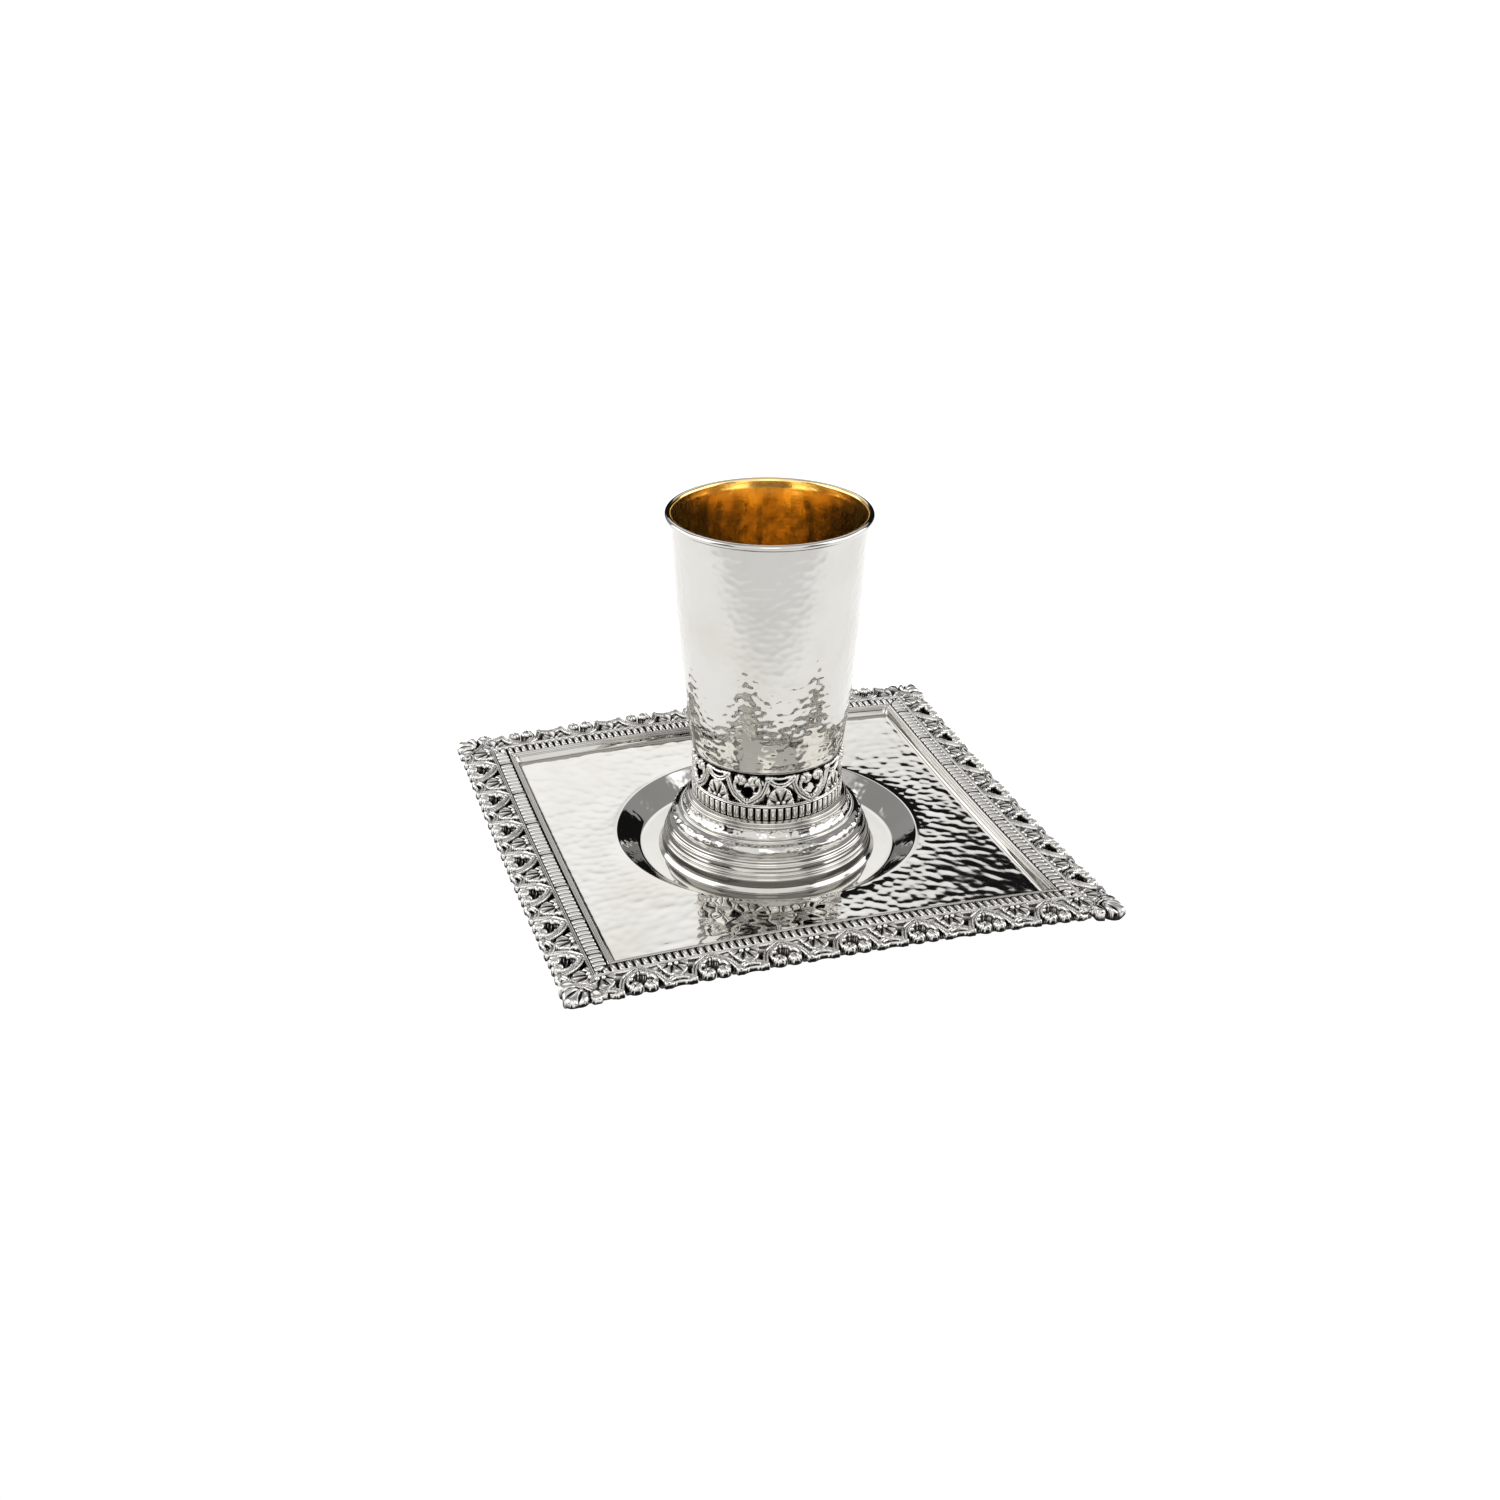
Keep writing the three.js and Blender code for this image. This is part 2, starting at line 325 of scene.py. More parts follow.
def hammer_marks(across: Array, along: Array, pitch: float, seed: int, wrap: float | None = None) -> Array:
    """Relief left by a round-faced hammer: shallow round dimples that meet in low ridges.

    One blow falls in each square of a grid, moved off its centre at random and raised a little at random.
    A point's height is the least, over the blows near it, of the blow's own raise and the squared distance
    from it over the squared half pitch.

    Args:
        across: First surface coordinate of each point in millimetres.
        along: Second surface coordinate, of the same shape.
        pitch: Mean distance between blows.
        seed: Start of the random numbers.
        wrap: Length after which the pattern repeats in the first coordinate, a whole number of pitches.

    Returns:
        The relief, of the same shape, about 0 to 1.
    """
    cells, jitter, unevenness = 97, 0.42, 0.35
    random = np.random.default_rng(seed)
    shift = random.uniform(-jitter, jitter, (cells, cells, 2))
    lift = random.uniform(0.0, unevenness, (cells, cells))
    a, b = across / pitch, along / pitch
    ia, ib = np.floor(a).astype(int), np.floor(b).astype(int)
    period = cells if wrap is None else int(round(wrap / pitch))
    nearest = np.full(np.shape(across), np.inf)
    for da in (-1, 0, 1):
        for db in (-1, 0, 1):
            ja, jb = ia + da, ib + db
            row, column = np.mod(ja, period) % cells, np.mod(jb, cells)
            blow = shift[row, column]
            distance = (a - ja - 0.5 - blow[..., 0]) ** 2 + (b - jb - 0.5 - blow[..., 1]) ** 2
            nearest = np.minimum(nearest, 4 * distance + lift[row, column])
    return nearest


# ---- Finishes -----------------------------------------------------------------------------------------


def linear(colour: str, alpha: float = 1.0) -> tuple[float, float, float, float]:
    """Turns an sRGB hex colour such as "#a0b0c0" to linear.

    Args:
        colour: The colour.
        alpha: Its alpha, which is kept as it is.

    Returns:
        Linear red, green and blue, and alpha.
    """
    channels = [int(colour[i:i + 2], 16) / 255 for i in (1, 3, 5)]
    red, green, blue = ((c / 12.92) if c <= 0.04045 else ((c + 0.055) / 1.055) ** 2.4 for c in channels)
    return red, green, blue, alpha


def add_node(tree: bpy.types.NodeTree, kind: str, settings: dict | None = None,
             inputs: dict | None = None) -> bpy.types.Node:
    """Adds a node with its settings and links.

    Args:
        tree: The node tree.
        kind: The node's type name.
        settings: Properties of the node by name.
        inputs: Sockets by name or number, each with a value or an output socket to link from.

    Returns:
        The new node.
    """
    node = tree.nodes.new(kind)
    for key, value in (settings or {}).items():
        setattr(node, key, value)
    for key, value in (inputs or {}).items():
        if isinstance(value, bpy.types.NodeSocket):
            tree.links.new(value, node.inputs[key])
        else:
            node.inputs[key].default_value = value
    return node


def blank_material(name: str) -> tuple[bpy.types.Material, bpy.types.NodeTree]:
    """Makes a material with an empty node tree.

    Args:
        name: The material's name.

    Returns:
        The material and its tree.
    """
    material = bpy.data.materials.new(name)
    material.use_nodes = True
    material.node_tree.nodes.clear()
    return material, material.node_tree


@dataclass(frozen=True)
class Finish:
    """A finish of the metal, whose material is made once and shared by the pieces that have it.

    Attributes:
        name: The material's name: what the metal is and how its surface was made.
    """

    name: str

    def material(self) -> bpy.types.Material:
        """The material with this finish's name, made when it is first asked for."""
        return bpy.data.materials.get(self.name) or self.made()

    def made(self) -> bpy.types.Material:
        """Makes the material, in the way of this kind of finish."""
        raise NotImplementedError

    def surface(self, tree: bpy.types.NodeTree, colour: bpy.types.NodeSocket,
                roughness: bpy.types.NodeSocket, height: bpy.types.NodeSocket, depth: float) -> None:
        """Ends a node tree with bare metal: a bump, the shader and the output.

        Args:
            tree: The material's node tree.
            colour: Socket of the metal's colour.
            roughness: Socket of its roughness.
            height: Socket of the bump's height, from 0 to 1.
            depth: What a height of 1 stands for, in millimetres.
        """
        bump = add_node(tree, "ShaderNodeBump", None,
                        {"Height": height, "Strength": 1.0, "Distance": depth * MM})
        shader = add_node(tree, "ShaderNodeBsdfPrincipled", None,
                          {"Base Color": colour, "Metallic": 1.0, "Roughness": roughness,
                           "Normal": bump.outputs["Normal"]})
        add_node(tree, "ShaderNodeOutputMaterial", None, {"Surface": shader.outputs["BSDF"]})


@dataclass(frozen=True)
class PolishedMetal(Finish):
    """Sheet metal, planished or spun and then buffed bright.

    The eye sees a clean mirror broken by soft waves a few millimetres wide, with a faint tarnish that
    drifts over the surface and a dark line down in each groove.

    Attributes:
        bright: Colour of the clean metal.
        tarnish: Colour of the tarnish.
        crevice: Colour where the tone is 0, towards which each groove darkens.
        roughness: Mean roughness.
        roughness_spread: Factors on it in tarnish and in clean metal.
        patch_edge: Noise values between which tarnish gives way to clean metal.
        cloud_size: Size of a patch of tarnish in millimetres.
        wave_size: Width of a wave in millimetres.
        wave_height: Height of a wave in millimetres.
    """

    bright: str = "#c9c7c3"
    tarnish: str = "#c3c1bb"
    crevice: str = "#3a3833"
    roughness: float = 0.045
    roughness_spread: tuple[float, float] = (1.3, 0.8)
    patch_edge: tuple[float, float] = (0.35, 0.6)
    cloud_size: float = 18.0
    wave_size: float = 1.4
    wave_height: float = 0.004

    def made(self) -> bpy.types.Material:
        """Makes the material: one noise for the tarnish and one for the waves.

        Returns:
            The new material.
        """
        material, tree = blank_material(self.name)
        place = add_node(tree, "ShaderNodeTexCoord").outputs["Object"]
        cloud = add_node(tree, "ShaderNodeTexNoise", None,
                         {"Vector": place, "Scale": 1 / (self.cloud_size * MM), "Detail": 3.0})
        patches = add_node(tree, "ShaderNodeValToRGB", None, {"Fac": cloud.outputs["Fac"]})
        stops = zip(patches.color_ramp.elements, self.patch_edge, (self.tarnish, self.bright))
        for stop, position, colour in stops:
            stop.position = position
            stop.color = linear(colour)
        tone = add_node(tree, "ShaderNodeAttribute", {"attribute_name": "tone"})
        colour = add_node(tree, "ShaderNodeMix", {"data_type": "RGBA"},
                          {0: tone.outputs["Fac"], 6: linear(self.crevice), 7: patches.outputs["Color"]})
        rough, smooth = (self.roughness * factor for factor in self.roughness_spread)
        roughness = add_node(tree, "ShaderNodeMapRange", None,
                             {"Value": cloud.outputs["Fac"], "From Min": NOISE_LOW, "From Max": NOISE_HIGH,
                              "To Min": rough, "To Max": smooth})
        wave = add_node(tree, "ShaderNodeTexNoise", None,
                        {"Vector": place, "Scale": 1 / (self.wave_size * MM), "Detail": 2.0})
        self.surface(tree, colour.outputs[2], roughness.outputs["Result"], wave.outputs["Fac"],
                     self.wave_height)
        return material


@dataclass(frozen=True)
class OxidisedCasting(Finish):
    """Cast silver, blackened all over and then buffed, so that only the high points are bright.

    The eye sees bright edges over grey slopes and near-black recesses, with the fine grain of the
    casting mould.

    Attributes:
        oxide: Colour of a recess.
        dull: Colour of a slope.
        bright: Colour of a high point.
        stops: Tones of those three colours.
        roughness_low: Roughness in a recess.
        roughness_high: Roughness on a high point.
        unevenness: How far the grain moves the tone up or down.
        grain_size: Size of a grain in millimetres, drawn coarser than it is so that it shows.
        grain_height: Height of a grain in millimetres.
    """

    oxide: str = "#100e0c"
    dull: str = "#7f7c76"
    bright: str = "#d6d4d0"
    stops: tuple[float, float, float] = (0.2, 0.4, 0.66)
    roughness_low: float = 0.45
    roughness_high: float = 0.1
    unevenness: float = 0.04
    grain_size: float = 0.6
    grain_height: float = 0.005

    def made(self) -> bpy.types.Material:
        """Makes the material: the tone attribute, broken up by a noise, drives colour and roughness.

        Returns:
            The new material.
        """
        material, tree = blank_material(self.name)
        place = add_node(tree, "ShaderNodeTexCoord").outputs["Object"]
        tone = add_node(tree, "ShaderNodeAttribute", {"attribute_name": "tone"})
        grain = add_node(tree, "ShaderNodeTexNoise", None,
                         {"Vector": place, "Scale": 1 / (self.grain_size * MM), "Detail": 3.0})
        uneven = add_node(tree, "ShaderNodeMapRange", None,
                          {"Value": grain.outputs["Fac"], "From Min": NOISE_LOW, "From Max": NOISE_HIGH,
                           "To Min": -self.unevenness, "To Max": self.unevenness})
        worn = add_node(tree, "ShaderNodeMath", {"operation": "ADD", "use_clamp": True},
                        {0: tone.outputs["Fac"], 1: uneven.outputs["Result"]})
        colour = add_node(tree, "ShaderNodeValToRGB", None, {"Fac": worn.outputs["Value"]})
        ramp = colour.color_ramp
        low, middle, high = self.stops
        ramp.elements[0].position = low
        ramp.elements[0].color = linear(self.oxide)
        ramp.elements[1].position = high
        ramp.elements[1].color = linear(self.bright)
        ramp.elements.new(middle).color = linear(self.dull)
        roughness = add_node(tree, "ShaderNodeMapRange", None,
                             {"Value": worn.outputs["Value"], "To Min": self.roughness_low,
                              "To Max": self.roughness_high})
        self.surface(tree, colour.outputs["Color"], roughness.outputs["Result"], grain.outputs["Fac"],
                     self.grain_height)
        return material


# Beaten over a stake and buffed: a mirror with soft dimples, in which reflections break into strokes.
BOWL_SILVER = PolishedMetal("planished silver, buffed")
# Flat sheet, beaten and buffed in the same way.
SHEET_SILVER = PolishedMetal("hammered silver sheet, buffed")
# Spun in a lathe: longer, lazier waves, so that the turned lines stay crisp.
SPUN_SILVER = PolishedMetal("spun silver, buffed", wave_size=5.0, wave_height=0.006)
# A thin gold plating, less buffed: a deep warm glow that reflections drown in.
GILDING = PolishedMetal("gilt silver, hammered", bright="#f8dfa4", tarnish="#eecf8a", roughness=0.13,
                        cloud_size=7.0, wave_size=0.9, wave_height=0.02)
# Cast, oxidised and buffed: bright high points drawn out of black hollows.
CAST_SILVER = OxidisedCasting("cast silver, oxidised and buffed")


# ---- Gallery strip ------------------------------------------------------------------------------------


def along_curve(u: Array, v: Array, knots: list[tuple[float, float]], samples: int = 24) -> Array:
    """Distance of each grid point from a spline: the least over its short straight pieces.

    Args:
        u: First coordinate of the points.
        v: Second coordinate, of the same shape.
        knots: The points that the spline passes through.
        samples: How many points the spline is split at.

    Returns:
        Distances, of the same shape.
    """
    line = spline(knots, samples)
    start, step = line[:-1], np.diff(line, axis=0)
    pu, pv = u[..., None] - start[:, 0], v[..., None] - start[:, 1]
    share = np.clip((pu * step[:, 0] + pv * step[:, 1]) / (step**2).sum(axis=1), 0, 1)
    return np.hypot(pu - share * step[:, 0], pv - share * step[:, 1]).min(axis=-1)


def rounded(inside: Array, radius: float) -> Array:
    """A quarter circle: rises from 0 at the edge of a form to 1 at a radius inside it and beyond."""
    return np.sqrt(1 - (1 - np.clip(inside / radius, 0, 1)) ** 2)


@dataclass(frozen=True)
class Buffing:
    """How a wheel brightens a casting.

    Attributes:
        base: Tone of a point that stands no higher than what is round it.
        wide: Weight of its height over a wide mean, per millimetre.
        wide_reach: Reach of that mean in cells.
        narrow: Weight of its height over a narrow mean.
        narrow_reach: Reach of that mean.
        high: Weight of its height over mid height.
        mid_height: The height which that is counted from.
    """

    base: float = 0.36
    wide: float = 0.65
    wide_reach: int = 5
    narrow: float = 1.5
    narrow_reach: int = 2
    high: float = 0.2
    mid_height: float = 1.5


FAR_OUTSIDE = -9.0  # a distance into the metal that stands for no metal near
SEAM = 0.01  # how far a form runs past the grid's own edge, so that no sliver is cut there


@dataclass
class CastSheet:
    """Relief on a flat grid, built up form by form, and pierced where there is no form.

    Attributes:
        u: Place along the strip of each grid point, shape (rows, columns).
        v: Place across the strip, of the same shape.
        metal: Distance from the nearest edge into the metal, negative in the openings.
        height: Height of the upper surface over the underside.
        oxide_and_shade: How much darker each point is than its height alone would make it, with oxide and
        shade painted into the gaps between the flutes.
        rib_depth: How far the lattice's ribs stand below the underside.
        rib_start: Places across the strip between which the ribs begin.
        rib_end: Places between which they end.
        least_height: The thinnest that the metal gets.
        skirt: How far past its own edge a form still gives the surface its height.
        most_slide: How far a corner may slide to meet the true edge.
        least_slope: The least square of the metal's slope that a slide is worked out with.
        buffing: How the sheet is buffed.
    """

    u: Array
    v: Array
    metal: Array
    height: Array
    oxide_and_shade: Array
    rib_depth: float = 0.0
    rib_start: tuple[float, float] = (4.2, 5.2)
    rib_end: tuple[float, float] = (12.5, 15.2)
    least_height: float = 0.3
    skirt: float = 0.3
    most_slide: float = 0.22
    least_slope: float = 0.3
    buffing: Buffing = Buffing()

    @classmethod
    def blank(cls, along: Array, across: Array, rib_depth: float = 0.0) -> "CastSheet":
        """Starts a sheet with nothing in it, over every pair of an along and an across value.

        Args:
            along: Grid lines along the strip.
            across: Grid lines across it.
            rib_depth: How far the lattice's ribs will stand below the underside.

        Returns:
            The sheet, open everywhere.
        """
        u, v = np.meshgrid(along, across)
        return cls(u, v, np.full(u.shape, FAR_OUTSIDE), np.zeros(u.shape), np.zeros(u.shape), rib_depth)

    def add(self, inside: Array, height: Array) -> None:
        """Adds a form: the metal is the union, and the surface is the higher of the two.

        Args:
            inside: Distance of each grid point into the form, negative outside it.
            height: The form's height at each grid point.
        """
        self.metal = np.maximum(self.metal, inside)
        self.raise_to(height, inside > -self.skirt)

    def raise_to(self, height: Array, where: Array) -> None:
        """Raises the surface to a height at the points marked, where it is lower than that."""
        self.height = np.where(where, np.maximum(self.height, height), self.height)

    def knob(self, u: Array, v: Array, size: float, low: float, top: float) -> None:
        """Adds a ball, whose section rises as a quarter circle from its edge to its middle.

        Args:
            u: Place along the strip of each grid point, counted from the ball's middle.
            v: Place across the strip, counted the same way.
            size: The ball's radius.
            low: Height of its edge.
            top: Height of its middle.
        """
        inside = size - np.hypot(u, v)
        self.add(inside, low + (top - low) * rounded(inside, size))

    def double_line(self, distance: Array, half: float, top: float, low: float = 0.8) -> None:
        """Adds a band with a line along each edge: round shoulders less a bell-shaped groove.

        Args:
            distance: Distance of each grid point from the band's middle line.
            half: Half the band's width.
            top: Height of the lines.
            low: Height of the band's edges.
        """
        inside = half - distance
        depth, spread = 0.9, 0.3 * half
        groove = depth * np.exp(-((distance / spread) ** 2))
        self.add(inside, low + (top - low) * rounded(inside, 0.5 * half) - groove)

    def mean_height(self, reach: int) -> Array:
        """Averages the height twice over a square of cells, which weighs near cells more.

        Args:
            reach: How many cells on either side the square takes in.

        Returns:
            The mean height round each grid point.
        """
        mean = np.where(self.metal > 0, self.height, self.least_height)
        for axis in (0, 1):
            for _ in range(2):
                mean = sum(np.roll(mean, k, axis=axis) for k in range(-reach, reach + 1)) / (2 * reach + 1)
        return mean

    def tone(self) -> Array:
        """Works out how far the buffing reaches: a weighed sum of three heights, less the oxide and the
        shade painted between the flutes.

        The three are the height over a wide mean round the point, over a narrow one, and over mid height.

        Returns:
            The tone of each grid point, from 0 to 1.
        """
        buff = self.buffing
        wide = self.height - self.mean_height(buff.wide_reach)
        narrow = self.height - self.mean_height(buff.narrow_reach)
        tone = buff.base + buff.wide * wide + buff.narrow * narrow
        return np.clip(tone + buff.high * (self.height - buff.mid_height) - self.oxide_and_shade, 0, 1)

    def shell(self) -> Shell:
        """Cuts the openings out and closes the sheet with walls and an underside.

        The underside is flat, and the lattice stands below it in ribs that make the casting stiff. A cell
        is kept if the mean of its corners' metal is above zero. Corners on the edge of what is kept then
        slide along the slope of the metal to where it is zero.

        Returns:
            The closed sheet, with w = 0 as its underside beneath the flutes and the outer edge.
        """
        kept = (self.metal[:-1, :-1] + self.metal[1:, :-1] + self.metal[:-1, 1:] + self.metal[1:, 1:]) > 0
        padded = np.pad(kept, 1)
        around = np.stack([padded[:-1, :-1], padded[1:, :-1], padded[:-1, 1:], padded[1:, 1:]])
        edge = around.any(axis=0) & ~around.all(axis=0)
        slope_v, slope_u = np.gradient(self.metal, self.v[:, 0], self.u[0])
        slope = np.maximum(slope_u**2 + slope_v**2, self.least_slope)
        step = np.clip(self.metal / slope, -self.most_slide, self.most_slide)
        u = self.u - np.where(edge, step * slope_u, 0)
        v = self.v - np.where(edge, step * slope_v, 0)
        top = np.stack([u, v, np.maximum(self.height, self.least_height)], axis=-1).reshape(-1, 3)
        count = len(top)
        index = np.arange(count).reshape(u.shape)
        cells = np.stack([index[:-1, :-1], index[:-1, 1:], index[1:, 1:], index[1:, :-1]], axis=-1)[kept]
        walls = []
        for axis in (0, 1):
            change = np.diff(padded.astype(int), axis=axis)
            change = change[:, 1:-1] if axis == 0 else change[1:-1, :]
            ends = (index[:, :-1], index[:, 1:]) if axis == 0 else (index[1:, :], index[:-1, :])
            for sign in (1, -1):
                here = change == sign
                low, high = (ends[0][here], ends[1][here])[::sign]
                walls.append(np.stack([low + count, high + count, high, low], axis=-1))
        quads = np.concatenate([cells, cells[:, ::-1] + count, *walls])
        used, compact = np.unique(quads, return_inverse=True)
        deep = between(top[:, 1], self.rib_start, self.rib_end)
        under = np.stack([top[:, 0], top[:, 1], -self.rib_depth * deep], axis=-1)
        points = np.concatenate([top, under])
        tone = np.concatenate([self.tone().reshape(-1), np.zeros(count)])
        quads = compact.reshape(-1, 4)
        return outward(Shell(points[used], quads, np.zeros((0, 3), dtype=int), tone[used]))


@dataclass
class GalleryStrip:
    """The cast strip, flat: u runs along it, v across from its fluted edge, in millimetres.

    One period holds a lyre in its middle with two acanthus leaves, and half a shell at each end.

    Attributes:
        period: From one lyre to the next.
        width: From the fluted edge to the outer one.
        flutes: How many flutes one period has.
        columns: How many grid cells one period is split into.
        slab_end: Place of the slab's far edge, beneath flutes and lines.
        slab: Its height.
        bar_half: Half a flute's width at its foot.
        bar_middle: Place of a flute's middle across the strip.
        bar_reach: Half a flute's length.
        bar_rise: How far its crown stands over its foot.
        oxide_and_shade_end: Place across the strip where the oxide and painted shade between the flutes
            end.
        oxide_and_shade: How much darker they make the gaps.
        lines: The lines along the strip, each as its place, half width and height.
    """

    period: float = 22.1
    width: float = 16.2
    flutes: int = 9
    columns: int = 81
    slab_end: float = 5.65
    slab: float = 1.0
    bar_half: float = 0.97
    bar_middle: float = 2.3
    bar_reach: float = 2.2
    bar_rise: float = 1.5
    oxide_and_shade_end: float = 4.55
    oxide_and_shade: float = 0.62
    lines: tuple[tuple[float, float, float], ...] = ((4.85, 0.27, 2.3), (5.4, 0.25, 2.2))

    def rows(self) -> Array:
        """Places the grid lines across the strip, closer together where fine lines run along it.

        Returns:
            The lines' places, in order.
        """
        edge = (0.0, 0.1, 0.2, 0.35, 0.6)
        flutes, flute_ends = np.arange(1.0, 4.0, 0.5), (4.1, 4.25, 4.4)
        lines, lattice = np.arange(4.5, 5.75, 0.16), np.linspace(5.8, self.width, 37)
        return np.concatenate([edge, flutes, flute_ends, lines, lattice])

    def fluted_band(self, sheet: CastSheet, clear: Array | float = 9.0) -> None:
        """Adds the flutes over their slab, and the two lines beyond them.

        A flute's crown is a quarter circle at its edges, less a share of the squared distance from its
        middle, both across and along it.

        Args:
            sheet: The sheet to add to.
            clear: How far each grid point is from a mitre that the flutes keep back from.
        """
        u, v = sheet.u, sheet.v
        skirt, edge_round, mitre_gap, foot, line_foot = 0.05, 0.55, 0.3, 0.9, 1.1
        sheet.add(np.minimum(v + SEAM, self.slab_end - v), np.full(u.shape, self.slab))
        pitch = self.period / self.flutes
        across, along = (np.mod(u / pitch, 1) - 0.5) * pitch, v - self.bar_middle
        bar = np.minimum(self.bar_half - np.abs(across), self.bar_reach - np.abs(along))
        bar = np.minimum(bar, clear - mitre_gap)
        crown = foot + self.bar_rise * rounded(bar + skirt, edge_round) - 0.25 * across**2 - 0.03 * along**2
        sheet.raise_to(crown, bar > -skirt)
        # Painted shade, with oxide: the gaps between the flutes and the edges of their feet are darkened.
        sheet.oxide_and_shade += np.where(v < self.oxide_and_shade_end, self.oxide_and_shade * (1 - smooth_step(bar, 0.0, 0.4)), 0.0)
        for middle, half, top in self.lines:
            inside = half - np.abs(v - middle)
            sheet.raise_to(line_foot + (top - line_foot) * rounded(inside + skirt, half), inside > -skirt)

    def lyre(self, sheet: CastSheet, u: Array, v: Array) -> None:
        """Adds the stem, the two arms, and between them two scrolls that swell into leaves.

        Args:
            sheet: The sheet to add to.
            u: Distance of each grid point from the lyre's axis.
            v: Place of each grid point along the axis.
        """
        knots = [(0.5, 5.8), (2.35, 6.9), (4.5, 8.7), (5.8, 11.0), (6.45, 13.0), (7.0, 14.9)]
        stem_half, stem_end, reeds = 1.3, 7.6, 6.5
        stem = np.minimum(stem_half - np.abs(u), stem_end - v)
        sheet.add(stem, 1.0 + 0.7 * rounded(stem, 0.4) + 0.35 * np.cos(u * reeds))
        sheet.double_line(along_curve(u, v, knots), half=0.85, top=2.3)
        sheet.knob(u - 7.9, v - 14.9, size=1.1, low=0.8, top=1.9)
        self.leaf(sheet, u, v)
        sheet.knob(u - 2.7, v - 9.6, size=0.72, low=0.8, top=2.2)

    def leaf(self, sheet: CastSheet, u: Array, v: Array) -> None:
        """Adds a scroll and the leaf it carries: an oval cushion less two bell-shaped grooves.

        Args:
            sheet: The sheet to add to.
            u: Distance of each grid point from the lyre's axis.
            v: Place of each grid point along the axis.
        """
        scroll = along_curve(u, v, [(1.5, 7.8), (3.1, 9.1), (4.1, 10.7), (4.35, 12.3), (3.9, 13.8)])
        half, length, width = 0.6, 2.2, 1.9
        sheet.add(half - scroll, 0.9 + 1.4 * rounded(half - scroll, half))
        size = np.hypot((u - 2.35) / length, (v - 14.0) / width)
        inside = width * (1.0 - size)
        fold = along_curve(u, v, [(3.3, 12.4), (2.6, 13.3), (2.7, 14.4), (3.6, 15.4)])
        curl = along_curve(u, v, [(1.0, 13.2), (1.6, 13.7), (1.5, 14.7), (0.7, 15.2)])
        groove = 0.85 * np.exp(-((fold / 0.26) ** 2)) + 0.6 * np.exp(-((curl / 0.24) ** 2))
        sheet.add(inside, 1.0 + 1.3 * rounded(inside, 0.9) + 0.5 * rounded(inside, 1.8) - groove)

    def scallop(self, sheet: CastSheet, u: Array, v: Array) -> None:
        """Adds a shell: a half oval of ribs that fan out from two curls, with sharp grooves between.

        Args:
            sheet: The sheet to add to.
            u: Distance of each grid point from the shell's axis, negative on one side.
            v: Place of each grid point along the axis.
        """
        half, length, base, ribs = 4.5, 6.7, 5.4, 4.5
        spread = np.arctan2(u, np.maximum(v - 5.6, 0.01))
        rib = np.abs(np.cos(spread * ribs))
        size = np.hypot(u / half, (v - base) / length) * (1.03 - 0.05 * rib)
        inside = np.minimum(half * (1 - size), v - 5.3)
        crown = 0.9 + 0.9 * np.sqrt(rib) * rounded(inside, 0.55) + 0.5 * smooth_step(size, 0.2, 0.9)
        lip, lip_height = 0.35, 1.9
        sheet.add(inside, np.where(inside < lip, np.minimum(crown, lip_height), crown))
        sheet.knob(np.abs(u) - 0.95, v - 6.35, size=0.8, low=0.9, top=2.6)

    def swag(self, sheet: CastSheet, u: Array, v: Array) -> None:
        """Adds the double arch that joins two lyres beyond the shell, and the rim outside it.

        Args:
            sheet: The sheet to add to.
            u: Distance of each grid point from the shell's axis, never negative.
            v: Place of each grid point across the strip.
        """
        arch = along_curve(u, v, [(4.4, 15.0), (3.3, 13.9), (1.8, 12.9), (0.0, 12.6)])
        sheet.double_line(arch, half=0.8, top=2.2)
        half = 0.42
        rim = half - along_curve(u, v, [(4.6, 15.5), (2.8, 15.35), (1.4, 14.95), (0.0, 14.8)])
        sheet.add(rim, 0.8 + 0.9 * rounded(rim, half))

    def tile(self, sheet: CastSheet, first: int, last: int) -> None:
        """Adds the lattice: lyres from one number to another, and the shells between and beside them.

        Args:
            sheet: The sheet to add to.
            first: Number of the first lyre, whose place is that many periods along.
            last: Number of the last lyre.
        """
        lyre_u = np.abs(sheet.u - self.period * np.clip(np.rint(sheet.u / self.period), first, last))
        shell_number = np.clip(np.rint(sheet.u / self.period - 0.5), first - 1, last) + 0.5
        shell_u = sheet.u - self.period * shell_number
        self.scallop(sheet, shell_u, sheet.v)
        self.swag(sheet, np.abs(shell_u), sheet.v)
        self.lyre(sheet, lyre_u, sheet.v)


# ---- Cup ----------------------------------------------------------------------------------------------


